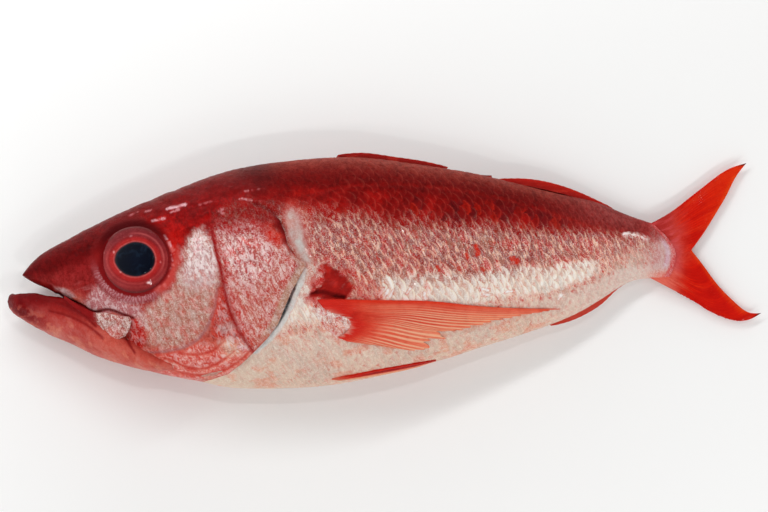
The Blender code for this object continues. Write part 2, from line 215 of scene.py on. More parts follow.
def linear(colour):
    """Linear light values of an sRGB colour given from 0 to 255."""
    c = np.clip(np.asarray(colour, float) / 255.0, 0, 1)
    return np.where(c <= 0.04045, c / 12.92, ((c + 0.055) / 1.055) ** 2.4)


def stops(position, table):
    """Colours along a list of (position, colour) stops."""
    at = [row[0] for row in table]
    return np.stack([np.interp(position, at, [row[1][k] for row in table]) for k in range(3)], axis=-1)


# Meshes.


def grid_quads(rows, columns, first=0, flip=False):
    """Four-sided faces of a grid of points, counted from the first point."""
    i, j = np.meshgrid(np.arange(rows - 1), np.arange(columns - 1), indexing="ij")
    a = (first + i * columns + j).ravel()
    quads = np.stack([a, a + columns, a + columns + 1, a + 1], axis=1)
    return quads[:, ::-1] if flip else quads


def grid_normals(points):
    along, across = np.gradient(points, axis=0), np.gradient(points, axis=1)
    normal = np.cross(along, across)
    return normal / np.maximum(np.linalg.norm(normal, axis=-1, keepdims=True), 1e-9)


def make_piece(name, points, quads, uv, looks, material):
    """A smooth mesh on the object's one body. Looks are named per-point colours or vectors."""
    points = np.asarray(points, float).reshape(-1, 3) * MM
    points[:, 2] = np.maximum(points[:, 2], 0.0)
    mesh = bpy.data.meshes.new(name)
    mesh.vertices.add(len(points))
    mesh.vertices.foreach_set("co", points.ravel())
    mesh.loops.add(len(quads) * 4)
    mesh.loops.foreach_set("vertex_index", quads.ravel())
    mesh.polygons.add(len(quads))
    mesh.polygons.foreach_set("loop_start", np.arange(len(quads)) * 4)
    mesh.polygons.foreach_set("loop_total", np.full(len(quads), 4))
    mesh.update(calc_edges=True)
    layer = mesh.uv_layers.new(name="OFBake")
    layer.data.foreach_set("uv", np.asarray(uv, float).reshape(-1, 2)[quads.ravel()].ravel())
    for key, values in looks.items():
        values = np.asarray(values, float).reshape(len(points), 3)
        if key == "tint":
            attribute = mesh.attributes.new(key, "FLOAT_COLOR", "POINT")
            attribute.data.foreach_set(
                "color", np.hstack([linear(values), np.ones((len(points), 1))]).ravel()
            )
        else:
            attribute = mesh.attributes.new(key, "FLOAT_VECTOR", "POINT")
            attribute.data.foreach_set("vector", values.ravel())
    mesh.shade_smooth()
    mesh.materials.append(material)
    item = bpy.data.objects.new(name, mesh)
    bpy.context.scene.collection.objects.link(item)
    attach(item, "root")
    return item


def unit_uv(rows, columns, low=0.0, high=1.0):
    u, v = np.meshgrid(
        np.linspace(0.004, 0.996, rows), np.linspace(low + 0.004, high - 0.004, columns), indexing="ij"
    )
    return np.stack([u, v], axis=-1)


def surface_piece(name, points, looks, material, flip=False):
    rows, columns = points.shape[:2]
    return make_piece(
        name, points, grid_quads(rows, columns, flip=flip), unit_uv(rows, columns), looks, material
    )


def sheet_piece(name, middle, thickness, relief, looks, material, up=None):
    """A thin closed fin: a grid of middle points, thickened both ways, with relief on both faces."""
    rows, columns = middle.shape[:2]
    normal = grid_normals(middle)
    if up is not None and (normal @ np.asarray(up)).mean() < 0:
        normal = -normal
    offset = (thickness / 2)[..., None] * normal
    top = middle + offset + relief[..., None] * normal
    under = middle - offset - relief[..., None] * normal
    count = rows * columns
    points = np.concatenate([top.reshape(-1, 3), under.reshape(-1, 3)])
    rim = [np.arange(columns), np.arange(rows) * columns + columns - 1]
    rim += [(rows - 1) * columns + np.arange(columns)[::-1], np.arange(rows)[::-1] * columns]
    loop = np.concatenate([part[:-1] for part in rim])
    following = np.roll(loop, -1)
    sides = np.stack([loop, following, following + count, loop + count], axis=1)
    flip = (np.cross(np.gradient(middle, axis=0), np.gradient(middle, axis=1)) * normal).sum() < 0
    quads = [grid_quads(rows, columns, flip=flip), grid_quads(rows, columns, count, flip=not flip)]
    quads.append(sides if flip else sides[:, ::-1])
    uv = np.concatenate(
        [unit_uv(rows, columns, 0, 0.6).reshape(-1, 2), unit_uv(rows, columns, 0.61, 1).reshape(-1, 2)]
    )
    doubled = {key: np.concatenate([np.reshape(v, (-1, 3))] * 2) for key, v in looks.items()}
    return make_piece(name, points, np.concatenate(quads), uv, doubled, material)


# Scales.

SCALE_LENGTH = line((
    (0, 8), (200, 8), (285, 10), (320, 13.5), (400, 13), (440, 12), (500, 10.5), (560, 9), (600, 7.4),
    (640, 6.4), (700, 5.5),
))
SCALE_HEIGHT = line(((0, 9), (250, 10.5), (330, 16), (480, 16), (560, 13), (600, 11), (640, 9.5), (700, 8)))
SCALE_ROW_LINE = line(((0, 262), (300, 252), (600, 260), (670, 254)))
SCALE_SHEAR = -0.3
SCALE_BULGE = 0.5


class Expr:
    """A number inside a material, so that one formula serves meshes and materials."""

    def __init__(self, tree, socket):
        self.tree, self.socket = tree, socket

    def op(self, kind, *others, clamp=False):
        node = self.tree.nodes.new("ShaderNodeMath")
        node.operation = kind
        node.use_clamp = clamp
        for i, value in enumerate((self, *others)):
            if isinstance(value, Expr):
                self.tree.links.new(value.socket, node.inputs[i])
            else:
                node.inputs[i].default_value = value
        return Expr(self.tree, node.outputs[0])

    def reverse(self, kind, other):
        node = self.tree.nodes.new("ShaderNodeMath")
        node.operation = kind
        node.inputs[0].default_value = other
        self.tree.links.new(self.socket, node.inputs[1])
        return Expr(self.tree, node.outputs[0])

    def __add__(self, other):
        return self.op("ADD", other)

    def __sub__(self, other):
        return self.op("SUBTRACT", other)

    def __mul__(self, other):
        return self.op("MULTIPLY", other)

    def __truediv__(self, other):
        return self.op("DIVIDE", other)

    def __rsub__(self, other):
        return self.reverse("SUBTRACT", other)

    __radd__, __rmul__ = __add__, __mul__


def floor(a):
    return a.op("FLOOR") if isinstance(a, Expr) else np.floor(a)


def root(a):
    return (a.op("MAXIMUM", 0.0)).op("SQRT") if isinstance(a, Expr) else np.sqrt(np.maximum(a, 0))


def sine(a):
    return a.op("SINE") if isinstance(a, Expr) else np.sin(a)


def less(a, b):
    return a.op("LESS_THAN", b) if isinstance(a, Expr) else (a < b).astype(float)


def shingles(u, v):
    """Overlapping scales at (u, v), with one scale a unit long and two rows high.

    Returns the distance in front of the scale's free rear edge, the place across it from -1 to 1,
    and a number from 0 to 1 that is the scale's own.
    """
    found = []
    for shift in (0.0, 1.0):
        row = floor((v + shift) * 0.5 + 0.5)
        across = v + shift - row * 2.0
        reach = root(1.0 - across * across * 0.94) * SCALE_BULGE + 0.5 * shift - u
        column = floor(reach)
        own = sine(column * 1.37 + row * 2.71 + shift * 0.9) * 91.7
        found.append((reach - column, across, own - floor(own)))
    first, second = found
    take = less(second[0], first[0])
    return tuple(a + (b - a) * take for a, b in zip(first, second))


# Materials.


class Graph:
    """Short names for the nodes of one material."""

    def __init__(self, name):
        self.material = bpy.data.materials.new(name)
        self.material.use_nodes = True
        self.tree = self.material.node_tree
        self.shader = self.tree.nodes["Principled BSDF"]

    def attribute(self, name):
        node = self.tree.nodes.new("ShaderNodeAttribute")
        node.attribute_name = name
        return node

    def split(self, vector):
        node = self.tree.nodes.new("ShaderNodeSeparateXYZ")
        self.tree.links.new(vector, node.inputs[0])
        return [Expr(self.tree, out) for out in node.outputs]

    def vector(self, *parts):
        node = self.tree.nodes.new("ShaderNodeCombineXYZ")
        for value, slot in zip(parts, node.inputs):
            self.put(value, slot)
        return node.outputs[0]

    def put(self, value, slot):
        if isinstance(value, Expr):
            value = value.socket
        if isinstance(value, bpy.types.NodeSocket):
            self.tree.links.new(value, slot)
        elif slot.type == "RGBA":
            slot.default_value = (*linear(value), 1.0)
        else:
            slot.default_value = value

    def noise(self, vector, scale, detail=3.0, roughness=0.55, warp=0.0):
        node = self.tree.nodes.new("ShaderNodeTexNoise")
        self.put(vector, node.inputs["Vector"])
        for key, value in (
            ("Scale", scale), ("Detail", detail), ("Roughness", roughness), ("Distortion", warp)
        ):
            node.inputs[key].default_value = value
        return Expr(self.tree, node.outputs["Fac"])

    def rise(self, value, low, high):
        """Smoothly from 0 at low to 1 at high."""
        node = self.tree.nodes.new("ShaderNodeMapRange")
        node.interpolation_type = "SMOOTHSTEP"
        self.put(value, node.inputs["Value"])
        node.inputs["From Min"].default_value = low
        node.inputs["From Max"].default_value = high
        return Expr(self.tree, node.outputs["Result"])

    def fall(self, value, low, high):
        """Smoothly from 1 at low to 0 at high."""
        return 1.0 - self.rise(value, low, high)

    def blend(self, factor, a, b, mode="MIX"):
        node = self.tree.nodes.new("ShaderNodeMix")
        node.data_type = "RGBA"
        node.blend_type = mode
        # The sockets of a colour mix: factor, A and B in, and its result.
        for value, slot in ((factor, 0), (a, 6), (b, 7)):
            self.put(value, node.inputs[slot])
        return node.outputs[2]

    def stain_and_shade(self, factor, colour, stain_and_shade):
        """The colour multiplied by another colour where the factor is 1: real stains and tones, and also
        painted shade.
        """
        return self.blend(factor, colour, self.blend(1.0, colour, stain_and_shade, "MULTIPLY"))

    def bump(self, height, distance, strength=1.0):
        node = self.tree.nodes.new("ShaderNodeBump")
        self.put(height, node.inputs["Height"])
        node.inputs["Distance"].default_value = distance * MM
        node.inputs["Strength"].default_value = strength
        self.tree.links.new(node.outputs[0], self.shader.inputs["Normal"])

    def set(self, **values):
        for key, value in values.items():
            self.put(value, self.shader.inputs[key.replace("_", " ")])


def skin_material():
    """Wet skin with overlapping scales. Finish is (scales, wetness, silver), fleck is (white, red, dark)."""
    g = Graph("wet_skin")
    tint = g.attribute("tint").outputs["Color"]
    place = g.attribute("place").outputs["Vector"]
    x, y, z = g.split(place)
    u, v, _ = g.split(g.attribute("lattice").outputs["Vector"])
    scaly, wet, silver = g.split(g.attribute("finish").outputs["Vector"])
    white, red, dark = g.split(g.attribute("fleck").outputs["Vector"])
    behind, across, own = shingles(u, v)
    fine = g.noise(place, 60.0, 4.0, 0.62)
    patchy = g.noise(place, 13.0, 3.0, 0.6, 0.6)
    grain = g.noise(place, 130.0, 2.0, 0.6)
    slanted = g.vector(x - y * 0.36, y * 0.32, z)
    streak = g.noise(slanted, 34.0, 4.0, 0.6, 0.3)
    other_streak = g.noise(slanted, 25.0, 4.0, 0.6, 0.5)
    crackle = g.noise(g.vector(x - y * 0.25, y * 0.6, z), 27.0, 3.0, 0.6, 0.9)

    colour = g.stain_and_shade(g.rise(fine, 0.3, 0.7) * 0.45, tint, (228, 206, 198))
    colour = g.stain_and_shade(g.rise(patchy, 0.45, 0.8) * 0.3, colour, (228, 186, 180))
    # Redder at the front of each scale, where it lies under the rear edge of the scale ahead: partly the red
    # at the scales' bases, partly painted shade under that edge.
    front = g.rise(behind + other_streak * 0.3, 0.5, 0.85) * scaly
    bright = g.rise(silver, 0.75, 1.0)
    colour = g.stain_and_shade(front * (own * 0.7 + 0.3) * (1.0 - bright * 0.6), colour, (250, 92, 76))
    colour = g.stain_and_shade(g.rise(1.0 - crackle, 0.47, 0.56) * red, colour, (244, 72, 58))
    colour = g.stain_and_shade(g.rise(patchy + fine * 0.5, 0.6, 0.95) * dark, colour, (184, 110, 112))
    colour = g.stain_and_shade(g.rise(streak, 0.44, 0.62) * dark * 0.8, colour, (196, 128, 116))
    middle = g.rise(behind, 0.12, 0.26) * g.fall(behind, 0.4, 0.6) * scaly
    colour = g.stain_and_shade(middle * g.rise(1.0 - own + fine * 0.3, 0.4, 0.9) * 0.6, colour, (206, 200, 204))
    body = scaly * silver * (1.0 - bright)
    colour = g.blend(body * g.fall(own, 0.1, 0.4) * 0.6, colour, (188, 142, 112))
    colour = g.blend(body * g.rise(own, 0.7, 0.9) * g.rise(behind, 0.2, 0.5) * 0.7, colour, (184, 44, 36))
    colour = g.blend(body * g.rise(other_streak, 0.53, 0.59) * 1.1, colour, (200, 36, 26))
    colour = g.blend(body * g.fall(other_streak, 0.38, 0.46) * 0.6, colour, (142, 82, 84))
    ahead = behind + streak * 0.5
    cell = g.rise(ahead, 0.3, 0.42) * g.fall(ahead, 0.6, 0.85) * scaly * g.rise(streak, 0.36, 0.56)
    colour = g.blend(cell * bright * (own * 0.6 + 0.3), colour, (255, 248, 240))
    # Pale rear edges of the scales: their pale rims, painted brighter on the upper half of each edge as a
    # highlight where it catches the light.
    edge = g.rise(behind, 0.02, 0.07) * g.fall(ahead, 0.34, 0.52) * g.fall(across, 0.0, 0.8) * scaly
    edge = edge * g.rise(streak + own * 0.2, 0.46, 0.58)
    pale = g.blend(silver, g.blend(0.35, colour, (232, 110, 92)), (252, 236, 212))
    colour = g.blend(edge * (0.35 + silver * 0.5), colour, pale)
    colour = g.blend(body * g.rise(streak, 0.56, 0.61) * 1.0, colour, (244, 218, 184))
    colour = g.blend(g.rise(crackle, 0.47, 0.6) * white, colour, (244, 228, 228))
    colour = g.stain_and_shade(body * 1.3, colour, (252, 206, 194))
    shade = g.fall(behind, 0.0, 0.06) * scaly * g.rise(other_streak, 0.35, 0.6) * 0.7
    colour = g.stain_and_shade(shade, colour, (176, 92, 84))
    sparkle = g.rise(grain + streak * 0.4, 0.72, 0.84) * (silver * 0.8 + white * 0.8)
    colour = g.blend(sparkle * 0.85, colour, (255, 252, 248))

    # Fine pale spokes under the eye.
    dx, dy = x * PLACE_PIXELS - EYE_CENTRE[0], y * PLACE_PIXELS - EYE_CENTRE[1]
    out_x, out_y = dx / EYE_SIZE[0], dy / EYE_SIZE[1]
    r = root(out_x * out_x + out_y * out_y) + fine * 0.05
    angle = dy.op("ARCTAN2", dx)
    spoke = g.rise(sine(angle * 84.0 + patchy * 22.0) + fine * 3.0, 0.9, 2.4)
    lower = g.rise(sine(angle - 0.36), 0.42, 0.85)
    fringe = g.rise(r + fine * 0.16, 1.22, 1.28) * g.fall(r + patchy * 0.5, 1.42, 1.7) * lower
    colour = g.blend(fringe * (spoke * 0.55 + 0.2), colour, (206, 152, 158))

    stipple = g.rise(fine, 0.42, 0.62) * scaly * (1.0 - body) * 0.3
    colour = g.blend(stipple * g.rise(silver, 0.3, 0.5), colour, (244, 238, 226))
    g.set(Base_Color=colour)
    g.set(Roughness=0.5 - wet * 0.16 + fine * 0.12 - silver * 0.08)
    g.set(Specular_IOR_Level=0.05, Coat_Weight=wet * 0.32, Coat_Roughness=0.07, Coat_IOR=1.38)
    g.bump(
        fine * 0.5 + grain * 0.2 + streak * scaly * 0.5 + crackle * white * 0.5 + patchy * wet * 1.8, 0.45,
        0.9
    )
    return g.material


def fin_material():
    """Wet fin skin over rays. Finish is (ray ridge, wetness, paleness)."""
    g = Graph("fin_skin")
    tint = g.attribute("tint").outputs["Color"]
    place = g.attribute("place").outputs["Vector"]
    along, ray, _ = g.split(g.attribute("lattice").outputs["Vector"])
    ridge, wet, pale = g.split(g.attribute("finish").outputs["Vector"])
    hair = g.noise(g.vector(along * 0.8, ray * 3.2, 0.0), 3.0, 4.0, 0.62)
    fine = g.noise(place, 60.0, 3.0, 0.6)
    blotch = g.noise(place, 11.0, 3.0, 0.55, 0.4)
    colour = g.stain_and_shade(g.rise(hair, 0.35, 0.62) * 0.5, tint, (232, 140, 112))
    colour = g.stain_and_shade(g.rise(blotch, 0.4, 0.75) * 0.3, colour, (220, 120, 100))
    colour = g.blend(g.rise(0.5 - ridge + hair, 0.35, 0.9) * pale, colour, (244, 188, 152))
    colour = g.blend(g.rise(fine, 0.62, 0.8) * 0.2, colour, (244, 140, 110))
    g.set(Base_Color=colour, Roughness=0.46 + fine * 0.14 - wet * 0.1, Specular_IOR_Level=0.06)
    g.set(Coat_Weight=wet * 0.3, Coat_Roughness=0.12, Coat_IOR=1.38)
    g.bump(hair * 0.8 + fine * 0.4, 0.25, 0.8)
    return g.material


def eye_material():
    """A clear wet eye. Finish is (pupil, -, -)."""
    g = Graph("wet_eye")
    tint = g.attribute("tint").outputs["Color"]
    place = g.attribute("place").outputs["Vector"]
    pupil, _, _ = g.split(g.attribute("finish").outputs["Vector"])
    cloud = g.noise(place, 14.0, 3.0, 0.5, 0.5)
    fine = g.noise(place, 70.0, 3.0, 0.6)
    spokes = g.noise(g.attribute("lattice").outputs["Vector"], 5.0, 3.0, 0.6)
    iris = 1.0 - pupil
    colour = g.stain_and_shade(g.rise(spokes, 0.4, 0.75) * iris * 0.5, tint, (210, 130, 130))
    colour = g.blend(g.rise(fine, 0.5, 0.8) * iris * 0.25, colour, (216, 90, 84))
    colour = g.blend(g.rise(cloud, 0.46, 0.8) * pupil * 0.6, colour, (24, 42, 62))
    g.set(Base_Color=colour, Roughness=0.3 + fine * 0.1, Specular_IOR_Level=0.1)
    g.set(Coat_Weight=0.8, Coat_Roughness=0.04, Coat_IOR=1.3)
    g.bump(fine * 0.3 + cloud * 0.4, 0.15, 0.4)
    return g.material


def floor_material():
    g = Graph("pale_floor")
    place = g.tree.nodes.new("ShaderNodeTexCoord").outputs["Object"]
    soft = g.noise(place, 3.0, 2.0)
    g.set(
        Base_Color=g.blend(soft * 0.15, (252, 252, 251), (248, 248, 248)), Roughness=0.7,
        Specular_IOR_Level=0.2
    )
    return g.material


# Head and trunk skin. Sides are 1 for the left one, on top, and -1 for the right one.

# Free rear edge of the gill cover as (photograph y, x), from the nape down to the isthmus.
GILL_EDGE = line((
    (150, 236), (190, 246), (200, 253), (206, 260), (213, 271), (221, 280), (231, 284), (246, 288),
    (257, 297), (262, 304), (265, 306.5), (269, 304), (280, 298), (290, 292), (306, 285), (323, 278),
    (336, 268), (348, 256), (362, 242), (373, 228), (380, 208), (386, 196),
))
GILL_FOLD_TOP, GILL_FOLD_FULL = 206.0, 222.0
GILL_LIFT, GILL_THINNING, GILL_DEPTH = 1.6, 0.56, 7.0
# The cover's edge is bent round in this share of its fold. Where there is no fold, its rows lie flat.
FOLD_BEND, FLAT_LENGTH, FLAT_END = 0.45, 3.0, 3.2
# The right side's noise is taken this many millimetres away from the left side's.
FAR_SIDE_SHIFT = 300
EYE_CENTRE, EYE_SIZE = (137.0, 260.0), (33.7, 31.9)
PUPIL_CENTRE, PUPIL_SIZE = (137.0, 259.3), (19.6, 17.2)
HEAD_ROWS, FOLD_ROWS, TRUNK_ROWS = 200, 12, 270
SKIN_COLUMNS = ((1, 206), (-1, 150))
TRUNK_END = spline((
    (-10.0, 149.0), (-4.7, 152.5), (3.0, 155.8), (9.0, 156.6), (14.0, 155.0), (20.0, 150.0), (26.5, 143.0),
))


def section_share(x, up):
    """Share of the section's half width at a share of its half height."""
    p = power(x)
    return np.maximum(1 - np.abs(up) ** (2 / p), 0) ** (p / 2)


def pressed(reach, x, side):
    """The half width, cut short on the side that rests on the surface."""
    return reach if side > 0 else np.minimum(reach, midline(x) + PRESSED_DEPTH)


def section(x, turn, side, lift=0.0):
    """Skin points at x. Turn runs from -90 degrees at the belly to 90 at the back."""
    top, low = back(x), bottom(x)
    up = np.sin(turn)
    taper = np.clip((TAPER_END - x) / TAPER_LENGTH, 0.05, 1.0) ** 0.6
    reach = pressed(half_width(x) * taper, x, side)
    y = (top + low) / 2 + ((top - low) / 2 + lift) * up
    return np.stack([x, y, midline(x) + side * (reach + lift) * section_share(x, up)], axis=-1)


def even_turns(columns):
    """Turns from belly to back that are evenly spaced along a section twice as high as wide."""
    fine = np.linspace(-math.pi / 2, math.pi / 2, 2001)
    step = np.hypot(2.0 * np.cos(fine), np.sin(fine))
    along = np.concatenate([[0], np.cumsum((step[1:] + step[:-1]) / 2)])
    return np.interp(np.linspace(0, along[-1], columns), along, fine)


def skin_grid(side, columns):
    """Rows of the skin from the snout over the gill cover's edge, under it and on to the tail."""
    turn = even_turns(columns)
    edge = np.full(columns, -60.0)
    for _ in range(30):
        y = section(edge, turn, side)[:, 1]
        edge = frame_xy(GILL_EDGE(photo_xy(0, y)[1]), 0)[0] * 0.5 + edge * 0.5
    edge_y = photo_xy(0, section(edge, turn, side)[:, 1])[1]
    fold = ramp(edge_y, GILL_FOLD_TOP, GILL_FOLD_FULL)
    end = np.full(columns, 150.0)
    for _ in range(8):
        end = TRUNK_END(section(end, turn, side)[:, 1])
    high = GILL_LIFT * ramp(edge_y, 198, 248) * (1 - 0.9 * ramp(edge_y, 345, 382))
    rows_x, rows_lift = [], []
    for s in np.linspace(0, 1, HEAD_ROWS):
        x = SNOUT_X + (edge - SNOUT_X) * s * (0.8 + 0.2 * s)
        swell = ramp(x - edge, -45.0, -2.0)
        rows_x.append(x)
        rows_lift.append(high * swell)
    flat_step = FLAT_LENGTH / FOLD_ROWS
    for i in range(FOLD_ROWS):
        s = (i + 1) / (FOLD_ROWS + 1)
        bent = min(s / FOLD_BEND, 1.0) * math.pi
        out = 0.5 * math.sin(bent)
        inward = -GILL_DEPTH * max(s - FOLD_BEND, 0.0) / (1 - FOLD_BEND)
        lift = high * (1 - GILL_THINNING * (1 - math.cos(bent)) / 2) * (1 - 0.8 * ramp(s, FOLD_BEND, 1.0))
        rows_x.append(edge + (out + inward) * fold + flat_step * (i + 1) * (1 - fold))
        rows_lift.append(lift * fold)
    start = edge - GILL_DEPTH * fold + FLAT_END * (1 - fold)
    for s in np.linspace(0, 1, TRUNK_ROWS):
        rows_x.append(start + (end - start) * s)
        rows_lift.append(-0.5 * fold * fall(s, 0.0, 0.03))
    x, lift = np.array(rows_x), np.array(rows_lift)
    return section(x, turn[None, :], side, lift), fold


def scale_lattice(points):
    """(u, v) of the scale rows: u counts scales along the body, v counts half rows up and down."""
    px, py = photo_xy(points[..., 0], points[..., 1])
    steps = np.linspace(0, 760, 761)
    count = np.concatenate([[0], np.cumsum(1 / SCALE_LENGTH(steps[:-1]))])
    arc = arc_length(points)
    middle = np.array(
        [np.interp(SCALE_ROW_LINE(px[i].mean()), py[i][::-1], arc[i][::-1]) for i in range(len(points))]
    )
    high = (middle[:, None] - arc) / PIXEL
    leaning = (
        px + SCALE_SHEAR * high + 4.0 * noise(px, py, 60, 5) + 2.6 * noise(px, py, 19, 7)
        + 1.0 * noise(px, py, 7, 8)
    )
    rows = high + 2.5 * noise(px, py, 70, 6) + 2.4 * noise(px, py, 23, 9) + 0.7 * noise(px, py, 8, 10)
    return np.interp(leaning, steps, count), rows / (SCALE_HEIGHT(px) / 2)


class Skin:
    """Colour, relief and finish of the skin, laid on mark by mark."""

    def __init__(self, points):
        self.px, self.py = photo_xy(points[..., 0], points[..., 1])
        self.ragged_x = self.px + 3.2 * noise(self.px, self.py, 13, 11) + 1.6 * noise(self.px, self.py, 5, 12)
        self.ragged_y = self.py + 3.2 * noise(self.px, self.py, 13, 13) + 1.6 * noise(self.px, self.py, 5, 14)
        top, low = photo_xy(0, back(points[..., 0]))[1], photo_xy(0, bottom(points[..., 0]))[1]
        self.depth = np.clip((self.py - top) / (low - top), 0, 1)
        self.around = arc_length(points) / PIXEL
        self.colour = np.zeros(points.shape)
        self.wet = np.full(self.px.shape, 0.3)
        for name in ("relief", "scaly", "silver", "white", "red", "dark"):
            setattr(self, name, np.zeros(self.px.shape))

    def area(self, points, soft, ragged=False):
        px, py = (self.ragged_x, self.ragged_y) if ragged else (self.px, self.py)
        return area(px, py, points, soft)

    def stroke(self, points, width):
        return stroke(self.px, self.py, points, width)

    def noise(self, size, seed):
        return rough_noise(self.px, self.around, size, seed)

    def tint(self, mask, colour):
        overlay(self.colour, (mask, colour))

    def toward(self, mask, **values):
        for name, value in values.items():
            field = getattr(self, name)
            field += (value - field) * np.clip(mask, 0, 1)

    def looks(self, height, lattice):
        return {
            "tint": self.colour,
            "place": place_of(self.px, self.py, height),
            "lattice": np.stack([*lattice, self.px], axis=-1),
            "finish": np.stack([self.scaly, self.wet, self.silver], axis=-1),
            "fleck": np.stack([self.white, self.red, self.dark], axis=-1),
        }


# Share of the body's depth that the red band along the back takes, by the photograph's x.
BAND = line((
    (250, 0.17), (310, 0.2), (340, 0.23), (420, 0.26), (500, 0.26), (540, 0.265), (600, 0.28), (660, 0.28),
))
# The first two stops, lighter and greyer at the very rim of the back, are a painted sheen along that rim.
TRUNK_TINTS = (
    (0.00, (162, 78, 66)), (0.03, (142, 54, 44)), (0.08, (120, 16, 12)), (0.14, (118, 6, 5)),
    (0.19, (134, 10, 8)), (0.24, (154, 22, 18)), (0.30, (160, 32, 26)), (0.38, (160, 50, 42)),
    (0.50, (166, 66, 52)), (0.58, (216, 150, 124)), (0.66, (244, 222, 202)), (0.80, (234, 222, 204)),
    (1.00, (226, 206, 184)),
)
HEAD_TINTS = (
    (0.0, (128, 44, 38)), (0.05, (116, 16, 16)), (0.2, (134, 18, 18)), (0.35, (150, 34, 32)),
    (0.55, (176, 66, 60)), (0.8, (210, 104, 88)), (1.0, (214, 116, 98)),
)

# Scales of a vivid red, and wet glints on the flank, as x, y, x, y and width.
VIVID_SCALES = (
    (475, 247, 477, 253, 5.4), (512, 258, 516, 262, 6.0), (466, 254, 467, 257, 4.2),
    (481, 268, 483, 270, 3.8), (457, 268, 459, 270, 4.0), (437, 267, 439, 270, 3.8),
)
FLANK_GLINTS = (
    (379, 295, 383, 288, 3.0), (384, 297, 388, 289, 3.0), (390, 296, 393, 290, 3.0),
    (482, 289, 489, 291, 3.0), (484, 294, 491, 295, 3.0), (424, 292, 425, 298, 3.2),
    (407, 293, 410, 288, 2.6), (506, 292, 512, 291, 2.8), (624, 234, 630, 233, 2.8),
    (632, 234, 637, 235, 2.8), (640, 236, 645, 238, 2.4), (558, 299, 561, 295, 2.8),
)


def paint_trunk(skin, mask, own, behind):
    """Bands from the back to the belly, with marks that follow single scales."""
    px = skin.px
    jagged = 0.03 * (own - 0.5) - 0.05 * (behind - 0.4) + 0.025 * skin.noise(30, 21)
    w = skin.depth + jagged * ramp(skin.depth, 0.1, 0.25)
    band = BAND(px)
    w = np.where(w < band, w / band * 0.25, 0.25 + (w - band) / (1 - band) * 0.75)
    skin.tint(mask, stops(w, TRUNK_TINTS))
    hot = ramp(w, 0.12, 0.18) * fall(w, 0.25, 0.3) * mask * fall(px, 540, 600)
    skin.tint(hot * ramp(skin.noise(22, 22) + 0.3, 0.0, 0.7) * 0.7, (180, 18, 10))
    skin.tint(hot * ramp(own + 0.4 * skin.noise(30, 23), 0.62, 0.8) * ramp(px, 330, 400) * 0.65, (96, 10, 18))
    skin.tint(hot * ramp(0.55 - own, 0.2, 0.4) * ramp(px, 380, 420) * 0.6, (200, 36, 14))
    middle = ramp(w, 0.3, 0.4) * fall(w, 0.55, 0.64) * mask
    skin.tint(middle * ramp(skin.noise(34, 24), 0.1, 0.7) * 0.5, (158, 96, 94))
    skin.tint(middle * ramp(skin.noise(28, 27), 0.1, 0.6) * 0.5, (206, 120, 90))
    bright = (
        middle * ramp(own, 0.93, 0.97) * ramp(behind, 0.15, 0.4) * ramp(px, 380, 460) * fall(px, 560, 590)
    )
    skin.tint(bright, (218, 36, 10))
    pale = ramp(w, 0.6, 0.7) * mask
    skin.tint(pale * ramp(skin.noise(13, 25) + 0.3 * (own - 0.5), 0.2, 0.55) * 0.55, (232, 152, 122))
    skin.tint(pale * ramp(skin.noise(40, 26), 0.1, 0.6) * 0.5, (212, 198, 184))
    ruddy = ramp(w, 0.5, 0.56) * fall(w, 0.66, 0.7) * mask * ramp(px, 400, 420) * fall(px, 500, 560)
    skin.tint(ruddy * ramp(own, 0.66, 0.76) * ramp(behind, 0.1, 0.3) * 0.8, (232, 100, 74))
    tail = ramp(px, 560, 650) * mask
    skin.tint(tail * ramp(w, 0.3, 0.55) * 0.8, (218, 194, 182))
    skin.tint(ramp(px, 520, 620) * mask * ramp(w, 0.66, 0.8) * 0.7, (230, 220, 210))
    skin.tint(ramp(px, 520, 620) * mask * fall(w, 0.1, 0.4) * 0.9, (160, 76, 74))
    strength = mixed(0.6, 1.0, ramp(w, 0.12, 0.32)) * mixed(1.0, 0.35, ramp(w, 0.7, 0.84))
    strength = strength * mixed(0.4, 1.0, ramp(px + 0.4 * (skin.py - 300), 274, 320))
    skin.toward(mask, scaly=strength * mixed(1.0, 0.6, ramp(px, 600, 660)))
    silver = 0.7 * ramp(w, 0.22, 0.4) + 0.3 * ramp(w, 0.5, 0.6) - 0.45 * ramp(w, 0.7, 0.82)
    skin.toward(mask, silver=mixed(silver, 0.36, ramp(px, 580, 645) * ramp(w, 0.36, 0.55)))
    skin.toward(mask, wet=0.12 + 0.4 * ramp(w, 0.12, 0.25) * fall(w, 0.6, 0.8))
    skin.toward(
        mask, red=0.6 * ramp(w, 0.2, 0.32) * fall(w, 0.5, 0.6) + 0.12 * fall(w, 0.8, 1.0) * ramp(w, 0.6, 0.7)
    )
    skin.toward(mask, white=0.08 * ramp(w, 0.3, 0.5) * fall(w, 0.8, 0.95), dark=0.5 * fall(w, 0.2, 0.3))
    for ax, ay, bx, by, width in VIVID_SCALES:
        spot = (
            skin.stroke(((ax, ay), (bx, by)), width) * (1 + 0.8 * skin.noise(4, 64))
            * mixed(0.6, 1, ramp(behind, 0, 0.2))
        )
        spot = ramp(spot, 0.2, 0.75) * mask
        skin.tint(spot * 0.9, (216, 42, 18))
        skin.toward(spot, silver=0.15, white=0.0, red=0.0, scaly=0.6)
    for ax, ay, bx, by, width in FLANK_GLINTS:
        shine = (
            ramp(skin.stroke(((ax, ay), (bx, by)), width) * (1 + 0.9 * skin.noise(3.5, 65)), 0.25, 0.8) * mask
        )
        skin.tint(shine, (255, 252, 250))
        skin.toward(shine, silver=0.0, red=0.0, scaly=0.2)


